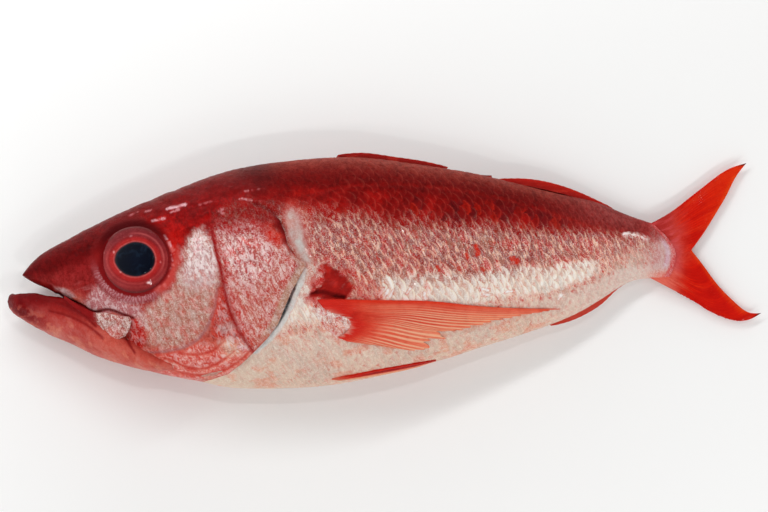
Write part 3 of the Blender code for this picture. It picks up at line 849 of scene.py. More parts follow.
def paint_head(skin, mask):
    py = skin.py
    skin.tint(mask, stops(skin.depth + 0.03 * skin.noise(24, 31), HEAD_TINTS))
    skin.toward(mask, wet=0.55, dark=0.5, red=0.2)

    def lay(outline, soft, colour, strength=1.0, **finish):
        on = skin.area(outline, soft, ragged=True) * mask * strength
        skin.tint(on, colour)
        skin.toward(on, **finish)
        return on

    # Snout and forehead.
    lay(
        ((22, 272), (45, 255), (80, 232), (124, 208), (140, 222), (104, 238), (92, 262), (60, 272),
        (38, 282)), 9, (110, 8, 10)
    )
    lay(
        ((66, 268), (92, 258), (104, 282), (96, 302), (78, 292), (50, 289), (44, 282)), 7, (152, 34, 36), 0.8,
        wet=0.4
    )
    lay(((20, 270), (38, 262), (44, 278), (36, 284), (22, 275)), 6, (98, 8, 12), 0.8)
    lay(((30, 272), (52, 275), (62, 287), (48, 289), (34, 281)), 4, (146, 28, 28), 0.7)
    # Glossy crown and the skin behind the eye.
    lay(
        ((100, 230), (130, 214), (186, 194), (250, 180), (300, 172), (300, 196), (240, 205), (180, 214),
        (140, 226)), 9, (134, 10, 10)
    )
    lay(
        ((146, 218), (186, 203), (240, 196), (292, 190), (300, 206), (268, 214), (240, 226), (214, 232),
        (188, 228), (178, 262), (168, 256), (168, 236), (150, 232)), 6, (172, 8, 6), 1.0, wet=1.0, dark=0.7
    )
    lay(((160, 206), (210, 198), (212, 216), (180, 222)), 7, (134, 8, 12), 0.7)
    lay(
        ((168, 228), (186, 232), (184, 262), (176, 280), (164, 284), (172, 256)), 5, (198, 26, 20), 0.9,
        red=0.6, wet=0.9
    )
    # Cheek: silver at the top, grey with red spots lower down.
    cheek = (
        (190, 236), (201, 229), (212, 232), (218, 250), (223, 275), (220, 300), (212, 320), (200, 338),
        (186, 346), (165, 350), (150, 342), (140, 318), (146, 308), (160, 301), (170, 288), (180, 270),
        (186, 250),
    )
    on_cheek = lay(cheek, 6, (182, 126, 106), 1.0, silver=0.4, wet=0.35, white=0.2, red=0.3, dark=0.0)
    top = lay(
        ((191, 237), (201, 230), (211, 233), (219, 262), (220, 285), (202, 292), (182, 286), (184, 272),
        (188, 250)), 6, (206, 182, 184)
    )
    skin.toward(top * fall(py, 262, 285), white=0.8, red=0.35)
    spots = ramp(skin.noise(4.5, 33), 0.05, 0.4)
    skin.tint(on_cheek * ramp(py, 262, 300) * spots * 0.6, (208, 92, 78))
    skin.tint(on_cheek * ramp(skin.noise(7, 34), 0.25, 0.5) * 0.5, (218, 136, 124))
    skin.tint(on_cheek * ramp(-skin.noise(11, 35), 0.2, 0.5) * 0.4, (188, 168, 158))
    # Gill cover plates.
    opercle = (
        (215, 230), (240, 224), (262, 216), (276, 232), (288, 250), (298, 266), (290, 282), (280, 306),
        (268, 328), (252, 347), (240, 328), (231, 300), (223, 265),
    )
    on_cover = lay(opercle, 4, (202, 112, 98), 1.0, silver=0.4, wet=0.45, white=0.4, red=0.55, dark=0.1)
    high = lay(
        ((218, 232), (250, 228), (268, 236), (276, 262), (250, 284), (224, 262)), 8, (192, 66, 76), 0.9,
        silver=0.6, white=0.6, red=0.9
    )
    skin.tint(high * ramp(skin.noise(9, 38), 0.0, 0.3) * 0.9, (240, 208, 208))
    skin.tint(high * ramp(-skin.noise(8, 39), 0.1, 0.4) * 0.8, (180, 36, 52))
    skin.tint(on_cover * ramp(py, 280, 310) * 0.7, (206, 100, 74))
    skin.toward(on_cover * ramp(py, 275, 300), white=0.3, red=0.5)
    skin.tint(on_cover * ramp(skin.noise(12, 36), 0.05, 0.4) * 0.5, (196, 54, 46))
    lay(
        ((254, 224), (268, 214), (281, 232), (284, 246), (276, 246), (262, 234)), 4, (208, 46, 24), 0.95,
        white=0.04, silver=0.1
    )
    lay(
        ((214, 212), (262, 204), (274, 214), (268, 226), (250, 229), (226, 231), (213, 233)), 5,
        (148, 14, 14), 0.9, white=0.0, red=0.0, silver=0.1
    )
    lay(
        ((218, 224), (246, 218), (262, 220), (262, 232), (250, 240), (244, 230), (232, 238), (222, 234)), 5,
        (184, 24, 24), 0.8, white=0.25
    )
    lay(((252, 234), (262, 240), (268, 262), (262, 270), (256, 256)), 3, (196, 40, 40), 0.6, white=0.3)
    lay(
        ((238, 206), (262, 207), (276, 220), (268, 222), (250, 220), (236, 224)), 5, (146, 14, 14), 0.8,
        wet=0.8
    )
    lay(((214, 232), (222, 236), (228, 262), (229, 284), (222, 262)), 3, (188, 18, 18), 0.75, white=0.1)
    lay(((229, 292), (240, 300), (246, 318), (252, 345), (240, 332)), 4, (204, 40, 28), 0.65, white=0.2)
    lay(((214, 226), (262, 222), (268, 230), (214, 240)), 6, (170, 26, 26), 0.6)
    # Between cheek and gill cover, and the membranes underneath.
    lay(
        ((217, 296), (226, 288), (232, 302), (240, 328), (250, 348), (236, 352), (214, 332), (210, 318)), 5,
        (208, 60, 44), 1.0, silver=0.0, white=0.25
    )
    lay(
        ((112, 345), (150, 351), (187, 348), (205, 340), (226, 352), (250, 352), (240, 366), (222, 378),
        (190, 382), (150, 373), (116, 362)), 6, (226, 108, 90), 1.0, red=0.5, white=0.3, silver=0.1, dark=0.0
    )
    lay(((219, 324), (230, 322), (238, 328), (230, 333), (219, 330)), 3, (210, 176, 172), 0.8)
    lay(((222, 342), (232, 336), (240, 342), (238, 354), (226, 357)), 5, (240, 206, 180), 0.9, white=0.5)
    under = skin.area(((112, 345), (187, 348), (250, 350), (240, 366), (190, 382), (116, 362)), 6) * mask
    skin.tint(under * ramp(skin.noise(8, 49), 0.05, 0.4) * 0.5, (240, 160, 140))
    skin.tint(under * ramp(-skin.noise(11, 50), 0.1, 0.5) * 0.5, (212, 62, 48))
    lay(((238, 338), (250, 342), (250, 352), (240, 348)), 3, (240, 214, 206), 0.7, white=0.6)
    lay(
        ((126, 316), (140, 318), (146, 338), (138, 352), (126, 344)), 4, (204, 52, 40), 0.9, red=0.9,
        white=0.2
    )
    lay(((132, 308), (150, 310), (148, 328), (136, 322)), 4, (204, 160, 160), 0.6, white=0.4)
    # Cheekbone below the eye, and the side of the upper jaw.
    lay(
        ((96, 296), (118, 304), (142, 306), (160, 297), (174, 280), (184, 256), (180, 244), (172, 262),
        (160, 286), (138, 297), (116, 294)), 4, (200, 72, 66), 0.9, red=0.4, white=0.3
    )
    lay(
        ((82, 300), (98, 286), (112, 296), (128, 303), (146, 308), (134, 316), (118, 313), (104, 311),
        (90, 311)), 4, (180, 108, 112), 1.0, white=0.35, red=0.2, dark=0.0, wet=0.3
    )
    strands = rough_noise((skin.px - 0.35 * py) * 0.35, (py + 0.35 * skin.px) * 2.4, 8, 37)
    low_snout = skin.area(((80, 284), (112, 290), (146, 308), (134, 318), (96, 314), (66, 300)), 6) * mask
    skin.tint(low_snout * ramp(strands, 0.1, 0.5) * 0.6, (208, 162, 164))
    lay(((50, 287), (62, 289), (74, 293), (77, 298), (66, 298), (54, 292)), 2.5, (200, 176, 178), 0.9)
    lay(
        ((22, 274), (41, 282), (62, 296), (96, 312), (94, 318), (60, 301), (38, 288), (20, 278)), 2.5,
        (140, 22, 22)
    )


def eye_marks(skin, mask):
    """The socket and its dark rim."""
    dx, dy = skin.px - EYE_CENTRE[0], skin.py - EYE_CENTRE[1]
    r = np.hypot(dx / EYE_SIZE[0], dy / EYE_SIZE[1]) + 0.02 * noise(skin.px, skin.py, 11, 43)
    angle = np.degrees(np.arctan2(dy, dx)) % 360
    toward = lambda degrees, low, high: ramp(np.cos(np.radians(angle - degrees)), low, high)
    skin.toward(fall(r, 1.25, 1.42) * mask, wet=0.35, white=0.0, dark=0.0, red=0.0)
    skin.tint(fall(np.abs(r - 1.01), 0.0, 0.14) * mask * 0.9, (112, 8, 12))
    above = toward(262, 0.2, 0.8) * fall(r, 1.12, 1.42) * ramp(r, 1.0, 1.08)
    skin.tint(above * mask * 0.8, (64, 4, 8))
    lower = toward(118, 0.35, 0.7)
    skin.tint(lower * fall(r, 1.3, 1.42) * mask * 0.9, (126, 16, 20))
    skin.tint(lower * ramp(r, 1.12, 1.2) * fall(r, 1.3, 1.42) * mask * 0.8, (156, 60, 64))
    behind = toward(10, 0.55, 0.9) * ramp(r, 1.02, 1.12) * fall(r, 1.25, 1.45) * mask
    skin.tint(behind * ramp(skin.noise(5, 42), 0.1, 0.4) * 0.7, (222, 120, 116))
    skin.relief -= mask * 5.0 * fall(r, 0.86, 1.0)
    skin.relief += mask * 0.7 * np.exp(-(((r - 1.2) / 0.14) ** 2))
    skin.relief += behind * 0.5 * skin.noise(5, 42)


# Wet glints on the head, as x, y, x, y, width and strength.
GLINTS = (
    (168, 209, 186, 205, 3.4, 0.9), (154, 221, 166, 218, 3.0, 0.8), (172, 213, 180, 210, 2.6, 0.7),
    (146, 212, 152, 210, 2.4, 0.6), (241, 199, 256, 202, 2.6, 0.8), (256, 202, 272, 201, 2.4, 0.8),
    (272, 200, 277, 194, 3.0, 0.9), (246, 192, 266, 189, 2.2, 0.5), (266, 189, 276, 193, 2.4, 0.7),
    (290, 196, 297, 194, 2.8, 0.7), (220, 211, 224, 209, 2.8, 0.7), (222, 213, 225, 214, 2.2, 0.5),
    (166, 236, 168, 239, 2.4, 0.8), (171, 243, 173, 247, 2.4, 0.7), (167, 250, 170, 256, 2.2, 0.7),
    (173, 255, 174, 260, 2.2, 0.6), (170, 264, 172, 268, 2.2, 0.6), (284, 218, 285, 222, 2.4, 0.6),
    (195, 240, 204, 239, 2.6, 0.9), (193, 246, 202, 246, 2.4, 0.8), (196, 252, 206, 250, 2.4, 0.7),
    (226, 246, 232, 250, 3.0, 0.7), (244, 238, 250, 244, 3.2, 0.8), (236, 254, 240, 262, 3.0, 0.7),
    (254, 232, 258, 246, 2.6, 0.8), (262, 244, 266, 254, 2.4, 0.7), (228, 262, 232, 268, 2.6, 0.6),
    (252, 262, 256, 270, 2.4, 0.6), (240, 346, 248, 350, 2.8, 0.9), (130, 216, 138, 212, 2.2, 0.4),
    (200, 205, 212, 202, 2.0, 0.4), (300, 200, 304, 206, 2.0, 0.5),
)


def head_relief(skin, mask):
    """Edges of the head's plates, folds, pits and wet glints."""
    preopercle = smooth_points(((213, 226), (215, 240), (223, 273), (230, 307), (239, 328), (254, 351)), 24)
    flange = smooth_points(
        ((218, 290), (217, 303), (212, 319), (201, 337), (187, 346), (167, 351), (148, 352)), 24
    )

    def groove(points, width, depth, colour=None, colour_width=2.4, strength=0.8):
        skin.relief -= skin.stroke(points, width) * depth * mask
        skin.toward(skin.stroke(points, width) * mask * 1.6, white=0.0, silver=0.1, dark=0.0)
        if colour:
            skin.tint(skin.stroke(points, colour_width) * mask * strength, colour)

    groove(preopercle, 3.4, 0.12, (150, 6, 8), 2.6, 1.4)
    skin.tint(
        skin.stroke(((227, 284), (231, 300), (238, 320), (242, 330)), 2.6) * mask * 0.6, (200, 160, 168)
    )
    cheek_plate = (
        (190, 226), (213, 226), (223, 273), (218, 300), (212, 319), (200, 338), (187, 346), (150, 352),
        (140, 330), (150, 300), (180, 270),
    )
    skin.relief += 0.3 * skin.area(cheek_plate, 9) * mask
    skin.tint(skin.stroke(flange, 3.0) * mask * 0.5, (172, 132, 146))
    groove(((219, 290), (218, 304), (213, 321), (202, 339), (187, 348), (167, 353), (140, 355)), 3.0, 0.5)
    lip = smooth_points(((58, 294), (66, 299), (84, 307), (96, 313), (105, 310), (120, 313), (134, 318)), 24)
    groove(lip, 3.0, 0.9, (96, 12, 16), 2.2, 0.9)
    folds = (
        ((166, 358), (178, 363), (190, 368), (206, 368), (222, 361), (236, 350)),
        ((128, 356), (150, 362), (175, 371), (200, 375), (222, 371), (240, 361), (252, 350)),
        ((180, 353), (200, 354), (214, 350), (226, 340)),
    )
    for fold in folds:
        curve = smooth_points(fold, 20)
        groove(curve, 2.8, 0.4, (196, 44, 36), 1.8, 0.45)
        skin.tint(
            skin.stroke(curve + (0.0, 3.0), 2.6) * mask * ramp(skin.noise(9, 48), -0.2, 0.4) * 0.6,
            (240, 176, 156)
        )
    red_edge = smooth_points(
        ((270, 226), (275, 239), (285, 257), (294, 269), (286, 279), (270, 289), (256, 300)), 24
    )
    skin.relief += np.exp(-((distance(skin.px, skin.py, red_edge) / 3.0) ** 2)) * 0.4 * mask
    skin.tint(skin.stroke(red_edge, 2.8) * mask * ramp(skin.noise(12, 44) + 0.5, 0, 0.6) * 0.7, (200, 44, 36))
    # Painted shade in the crease where the gill cover's fold starts at the nape.
    crease = smooth_points(((256, 205), (264, 207), (273, 213), (281, 222), (285, 232)), 16)
    skin.relief -= skin.stroke(crease, 3.5) * 0.3
    skin.tint(skin.stroke(crease, 3.4) * 0.8, (112, 4, 8))
    for ax, ay, bx, by, width, strength in GLINTS:
        shine = skin.stroke(((ax, ay), (bx, by)), width) * mask
        shine = ramp(shine * (1.0 + 0.9 * skin.noise(3.5, 57)), 0.3, 0.9) * strength
        skin.tint(shine, (250, 222, 232))
    for place in (((81, 249), (83, 251)), ((75, 253), (77, 255)), ((89, 246), (90, 247))):
        pit = skin.stroke(place, 2.6) * mask
        skin.relief -= 0.25 * pit
        skin.tint(pit * 0.4, (66, 6, 10))
    oval = np.hypot((skin.px - 260) / 16, (skin.py - 196) / 6.5)
    skin.relief += 0.5 * fall(oval, 0.7, 1.15) * mask + 0.4 * np.exp(-(((oval - 1.15) / 0.14) ** 2)) * mask
    skin.relief += mask * (0.2 * skin.noise(11, 45) + 0.1 * skin.noise(4, 46))
    wrinkled = fall(skin.depth, 0.3, 0.5) * ramp(skin.px, 120, 170) * mask
    skin.relief += wrinkled * 0.4 * rough_noise(skin.px * 0.5, skin.py, 7, 47)


def closed(points, count=60):
    """A rounded outline through a loop of points."""
    loop = list(points) + [points[0], points[1]]
    return [tuple(p) for p in smooth_points(loop, count)[: int(count * len(points) / (len(points) + 1))]]


AXILLA = (
    (313, 292), (320, 286), (327, 276), (329, 264), (332, 266), (339, 276), (347, 283), (352, 292),
    (345, 300), (328, 299)
)
SHOULDER = (
    (287, 210), (294, 209), (301, 219), (305, 234), (309, 250), (311, 263), (303, 261), (296, 250),
    (290, 238), (287, 224)
)


def gill_opening(skin, mask):
    """Painted shade in the gill slit, pale shoulder bone and patch, and the hollow above the side fin with
    painted shade in its crease.
    """
    slit = smooth_points(((297, 284), (292, 293), (285, 307), (278, 321), (270, 332)), 16)
    bone = smooth_points(
        ((304, 270), (301, 284), (296, 296), (290, 308), (282, 322), (272, 335), (256, 350)), 20
    )
    uneven = 1 + 0.5 * skin.noise(8, 54)
    pale = ramp(skin.stroke(bone, 6.5) * uneven, 0.2, 0.7) * mask
    skin.tint(pale, (216, 216, 212))
    skin.tint(pale * ramp(skin.noise(7, 52), 0.0, 0.4) * 0.5, (184, 188, 188))
    skin.relief += 0.5 * pale
    # Painted shade inside the gill slit, where it opens under the cover: dark grey, redder at its top.
    thick = 3.4 * np.sin(np.clip((skin.py - 284) / 50, 0, 1) * math.pi) + 0.3
    dark = fall(distance(skin.px, skin.py, slit) / thick, 0.5, 1.3) * mask
    skin.relief -= 1.5 * dark
    skin.tint(dark, (72, 78, 82))
    skin.tint(dark * fall(skin.py, 290, 304) * 0.8, (130, 52, 48))
    skin.toward(np.maximum(pale, dark) * 1.5, scaly=0.0, silver=0.3, white=0.2, red=0.0)
    near = skin.area(
        ((298, 262), (326, 262), (330, 280), (314, 300), (300, 312), (292, 306), (300, 286)), 5, True
    ) * mask
    skin.tint(near * 0.8 * (1 - pale), (222, 204, 192))
    skin.toward(near, scaly=0.3)
    patch = skin.area(closed(SHOULDER), 5.5) * np.clip(1 + 0.3 * skin.noise(5, 66), 0, 1) * mask
    rosy = ramp(skin.noise(10, 53), -0.1, 0.5)
    tones = mixed(
        np.array((204.0, 184, 178)), np.array((200.0, 200, 196)), ramp(skin.py, 214, 240)[..., None]
    )
    skin.tint(patch, tones)
    skin.tint(patch * rosy * (1 - 0.7 * ramp(skin.px, 292, 300)) * 0.6, (208, 138, 126))
    skin.relief += 0.3 * patch
    skin.toward(patch * 1.6, scaly=0.0, silver=0.15, white=0.1, red=0.1, dark=0.0, wet=0.2)
    around = (
        skin.area(((284, 206), (296, 200), (312, 214), (316, 262), (306, 270), (290, 250)), 5, True) * mask
        * (1 - patch)
    )
    skin.tint(around * 0.5, (206, 84, 70))
    halo = fall(distance(skin.ragged_x, skin.ragged_y, closed(AXILLA)), 1.0, 13.0) * mask
    halo = halo * ramp(skin.noise(7, 58) + 0.6, 0.0, 0.6)
    skin.tint(halo * 0.9, (196, 46, 38))
    skin.toward(halo * 1.3, silver=0.1, white=0.1, red=0.6)
    hollow = ramp(skin.area(closed(AXILLA), 6.0, True) + 0.25 * skin.noise(5, 63), 0.35, 0.65) * mask
    skin.relief -= 1.8 * hollow
    skin.tint(hollow, (200, 42, 34))
    # Painted shade in the crease at the bottom of the hollow, under the base of the side fin.
    crease = smooth_points(((313, 292), (324, 292), (335, 295), (344, 297)), 12)
    skin.tint(hollow * ramp(skin.stroke(crease, 4.5) + 0.3 * skin.noise(7, 55), 0.1, 0.8) * 0.9, (70, 4, 6))
    skin.tint(hollow * ramp(skin.noise(8, 56), -0.1, 0.4) * 0.6, (140, 20, 18))
    skin.tint(
        hollow * skin.stroke(((329, 280), (342, 290)), 5) * ramp(skin.noise(5, 59), -0.2, 0.4) * 0.6,
        (186, 56, 56)
    )
    skin.relief += hollow * 0.5 * skin.noise(6, 60)
    skin.toward(hollow * 1.5, scaly=0.0, silver=0.0, white=0.0, red=0.0, wet=0.3)
    skin.tint(skin.stroke(((329, 260), (326, 272), (314, 292)), 6) * mask * (1 - hollow) * 0.8, (206, 48, 42))
    beside = skin.area(((346, 270), (374, 284), (384, 300), (350, 302)), 7, True) * mask * (1 - hollow)
    skin.tint(beside * 0.7, (206, 66, 50))
    skin.toward(beside, silver=0.4, red=0.5)
    base = skin.area(
        closed(((316, 303), (330, 304), (346, 311), (355, 322), (348, 331), (338, 336), (326, 328))), 6, True
    ) * mask
    skin.relief += 1.6 * base
    skin.tint(base * 0.7, (222, 160, 146))
    skin.toward(base, white=0.5, red=0.6)
    skin.tint(skin.stroke(((316, 301), (322, 309), (332, 313), (342, 318)), 7) * mask * 0.8, (216, 44, 30))


def paint_cover_margin(skin, mask, ahead):
    """A tawny rim along the gill cover's edge, level with the side fin."""
    band = mask * fall(-ahead, 5.0, 9.0) * ramp(skin.py, 250, 264) * fall(skin.py, 326, 346)
    skin.tint(band * 0.85, (196, 164, 136))
    skin.tint(band * ramp(skin.noise(7, 51), 0.1, 0.5) * 0.5, (214, 150, 136))
    skin.toward(band, scaly=0.0, silver=0.2, white=0.25, red=0.15)


def tail_root(skin, mask, row):
    """The fleshy root of the tail, which fades into the colours of the fin."""
    upper, lower = fall(skin.py, 232, 246), ramp(skin.py, 264, 276)
    middle = (1 - upper) * (1 - lower)
    skin.tint(ramp(skin.px, 630, 660) * mask * upper, (176, 54, 52))
    skin.tint(ramp(skin.px, 640, 668) * mask * lower, (230, 126, 110))
    skin.tint(ramp(skin.px, 636, 660) * mask * middle, (208, 172, 168))
    skin.tint(
        ramp(skin.px, 650, 668) * mask * middle * ramp(skin.noise(8, 62), 0.0, 0.4) * 0.6, (200, 110, 110)
    )
    last = len(row) - 1
    # Painted highlight: a pale violet line along the rim of the flesh where it meets the tail fin.
    strip = ramp(row, last - 8, last - 6) * fall(row, last - 5, last - 3) * mask
    skin.tint(strip * ramp(skin.py, 232, 246) * fall(skin.py, 262, 272) * 0.8, (216, 190, 208))
    skin.tint(ramp(row, last - 4, last - 2) * mask, (212, 84, 84))
    skin.toward(ramp(skin.px, 646, 664) * mask, scaly=0.1, white=0.1, silver=0.2, wet=0.6, red=0.2)
    gleam = skin.stroke(((626, 235), (638, 235), (648, 239)), 4.0) * mask
    skin.tint(gleam * 0.3, (240, 226, 224))
    skin.toward(gleam, white=0.6, silver=0.8, wet=0.7)


def outward(points, side):
    """Normals of a grid that point away from the fish's middle on the given side."""
    normal = grid_normals(points)
    rows, columns = points.shape[:2]
    return normal if normal[rows // 2, columns // 2, 2] * side > 0 else -normal


def body_skin(side, columns, material):
    points, fold = skin_grid(side, columns)
    rows = len(points)
    skin = Skin(points)
    row = np.arange(rows)[:, None] * np.ones((1, columns))
    under_cover = ramp(row, HEAD_ROWS + FOLD_ROWS * 0.5, HEAD_ROWS + FOLD_ROWS * 0.5 + 1)
    nape = ramp(skin.ragged_x - np.clip(skin.py - 198, 0, 24), 222, 290)
    trunk_mask = mixed(nape, under_cover, fold[None, :])
    head_mask = 1 - trunk_mask
    u, v = scale_lattice(points)
    behind, across, own = shingles(u, v)
    ahead = skin.px - GILL_EDGE(skin.py)
    paint_trunk(skin, trunk_mask, own, behind)
    paint_head(skin, head_mask)
    nape_patch = skin.area(
        ((222, 206), (250, 199), (276, 204), (284, 214), (270, 222), (246, 224), (222, 224)), 6, True
    )
    skin.tint(nape_patch * 0.85, (150, 18, 14))
    skin.toward(nape_patch, scaly=0.1, silver=0.1, white=0.0, red=0.0, dark=0.4, wet=0.5)
    head_scales = (
        (186, 226), (214, 214), (250, 200), (330, 150), (340, 400), (140, 400), (140, 350), (150, 300),
        (176, 284)
    )
    skin.scaly += skin.area(head_scales, 8) * head_mask * 0.3
    head_relief(skin, head_mask)
    eye_marks(skin, head_mask)
    paint_cover_margin(skin, head_mask, ahead)
    gill_opening(skin, trunk_mask)
    tail_root(skin, trunk_mask, row)
    size = SCALE_LENGTH(skin.px) / 13.0
    edge_height = fall(behind, 0.0, 0.75) ** 1.2 - 0.35
    tilt = (own - 0.5) * across * 0.35
    skin.relief += skin.scaly * size * (0.5 * edge_height + 0.3 * tilt + 0.12 * (own - 0.5))
    skin.relief += trunk_mask * 0.4 * rough_noise(skin.px, skin.py, 60, 61)
    lateral = smooth_points(((300, 196), (340, 188), (440, 188), (480, 194), (560, 216), (640, 246)), 30)
    mark = skin.stroke(lateral, 3.0) * trunk_mask
    skin.relief -= 0.12 * mark
    skin.tint(mark * 0.22, (206, 40, 28))
    in_fold = (row > HEAD_ROWS - 2) & (row < HEAD_ROWS + FOLD_ROWS + 1)
    skin.relief *= np.where(in_fold, 1 - fold[None, :], 1.0)
    skin.tint(in_fold * (row > HEAD_ROWS + 1) * fold[None, :] * 0.6, (170, 96, 84))
    ends = ramp(row, 0, 6) * fall(row, rows - 8, rows - 1)
    normal = outward(points, side)
    normal[:, [0, -1], 2] = 0
    normal /= np.linalg.norm(normal, axis=-1, keepdims=True)
    shaped = points + normal * (skin.relief * ends)[..., None]
    looks = skin.looks(points[..., 2] + (side < 0) * FAR_SIDE_SHIFT, (u, v))
    return surface_piece(sided("skin", side), shaped, looks, material, flip=side < 0)


# Eye.


def surface_height(px, py, side):
    """Height of the smooth skin over the surface below at a photograph pixel."""
    x, y = frame_xy(px, py)
    top, low = back(x), bottom(x)
    up = np.clip((2 * y - top - low) / (top - low), -1, 1)
    return midline(x) + side * pressed(half_width(x), x, side) * section_share(x, up)


EYE_GLINTS = (
    (132, 236, 1.2, 0.8), (152.5, 232, 1.5, 0.9), (150.5, 282.5, 2.2, 1.0), (115, 252, 0.9, 0.8),
    (104.5, 252.5, 0.9, 0.6), (122, 272, 0.8, 0.4), (162, 262, 0.8, 0.4),
)
EYE_TINTS = (
    (0.0, (3, 10, 28)), (0.93, (2, 6, 20)), (0.97, (24, 10, 20)), (1.0, (140, 52, 56)),
    (1.045, (196, 84, 80)), (1.1, (176, 40, 38)), (1.26, (166, 30, 32)), (1.34, (150, 34, 36)),
    (1.42, (170, 52, 52)), (1.52, (142, 34, 38)), (1.62, (158, 50, 50)), (1.74, (140, 30, 34)),
    (1.9, (120, 20, 24)),
)
EYE_GRID, EYE_SPREAD, EYE_SLOPE_STEP = (60, 128), 1.05, 20.0


def eye(side, material):
    """A domed eye that follows the slope of the head, its rings counted in pupil widths."""
    r, a = shares(*EYE_GRID, 0, 2 * math.pi)
    px = EYE_CENTRE[0] + EYE_SIZE[0] * EYE_SPREAD * r * np.cos(a)
    py = EYE_CENTRE[1] + EYE_SIZE[1] * EYE_SPREAD * r * np.sin(a)
    dx, dy = px - PUPIL_CENTRE[0], py - PUPIL_CENTRE[1]
    turn = np.arctan2(dy, dx)
    point = np.exp(-(((np.abs(turn) - math.pi) / 0.5) ** 2))
    pupil = np.hypot(dx / PUPIL_SIZE[0], dy / PUPIL_SIZE[1]) / (1 + 0.06 * point)
    step = EYE_SLOPE_STEP
    cx, cy = EYE_CENTRE
    slope_x = (surface_height(cx + step, cy, side) - surface_height(cx - step, cy, side)) / (2 * step)
    slope_y = (surface_height(cx, cy + step, side) - surface_height(cx, cy - step, side)) / (2 * step)
    base = surface_height(cx, cy, side) + slope_x * (px - cx) + slope_y * (py - cy)
    rise = (
        -2.2 + 4.8 * np.sqrt(np.clip(1 - (r * 0.985) ** 2, 0, 1))
        - 0.35 * np.exp(-(((pupil - 1.02) / 0.07) ** 2))
    )
    rise += 0.15 * np.exp(-(((pupil - 1.34) / 0.1) ** 2)) + 0.06 * rough_noise(px, py, 12, 73)
    x, y = frame_xy(px, py)
    z = base + side * rise
    points = np.stack([x, y, np.where(side > 0, z, np.maximum(z, 0.3))], axis=-1)
    tones = stops(pupil + 0.025 * rough_noise(px, py, 9, 71), EYE_TINTS)
    for spot_x, spot_y, wide, strong in EYE_GLINTS:
        spot = fall(np.hypot((px - spot_x) / wide, py - spot_y), 0.5, 1.7) * strong
        overlay(tones, (spot, (255, 226, 226)))
    over = ramp(np.sin(-a), 0.1, 0.8) * ramp(r, 0.62, 0.8)
    arc = fall(np.abs(r - 0.8), 0.0, 0.05) * ramp(np.cos(a + 0.7), 0.2, 0.8)
    overlay(
        tones,
        (over * 0.7, (100, 12, 22)),
        (arc * 0.6, (196, 96, 92)),
        (ramp(r, 0.9, 0.97) * 0.9, (98, 10, 14)),
    )
    looks = {
        "tint": tones,
        "place": place_of(px, py, z),
        "lattice": np.stack([np.cos(turn), np.sin(turn), pupil * 0.4], axis=-1),
        "finish": np.stack([fall(pupil, 0.94, 1.0), pupil, r], axis=-1),
    }
    return surface_piece(sided("eye", side), points, looks, material, flip=side < 0)


# Jaws.

JAW_TOP_LINE = (
    (-200.6, -16.0), (-200.2, -14.2), (-199.2, -12.6), (-197.4, -11.5), (-194.0, -11.0), (-187.0, -11.6),
    (-180.0, -13.0), (-171.0, -14.2), (-160.7, -18.0), (-150.0, -24.0), (-138.0, -33.0), (-125.0, -42.0),
    (-112.0, -48.0),
)
JAW_BOTTOM_LINE = (
    (-200.6, -16.8), (-200.2, -18.6), (-199.2, -20.6), (-197.4, -22.6), (-194.0, -25.0), (-187.2, -29.2),
    (-178.7, -33.6), (-170.2, -37.4), (-161.6, -41.2), (-153.1, -45.2), (-144.6, -48.2), (-136.1, -50.8),
    (-127.6, -52.8), (-119.0, -53.6), (-112.0, -53.0),
)
JAW_HALF_WIDTH = (
    (-200.6, 1.6), (-198.6, 5.0), (-190.0, 8.6), (-175.0, 12.2), (-160.0, 15.6), (-145.0, 18.6),
    (-134.0, 19.4), (-124.0, 18.4), (-112.0, 14.0),
)
JAW_GRID, JAW_START, JAW_LENGTH = (200, 132), -200.6, 88.6


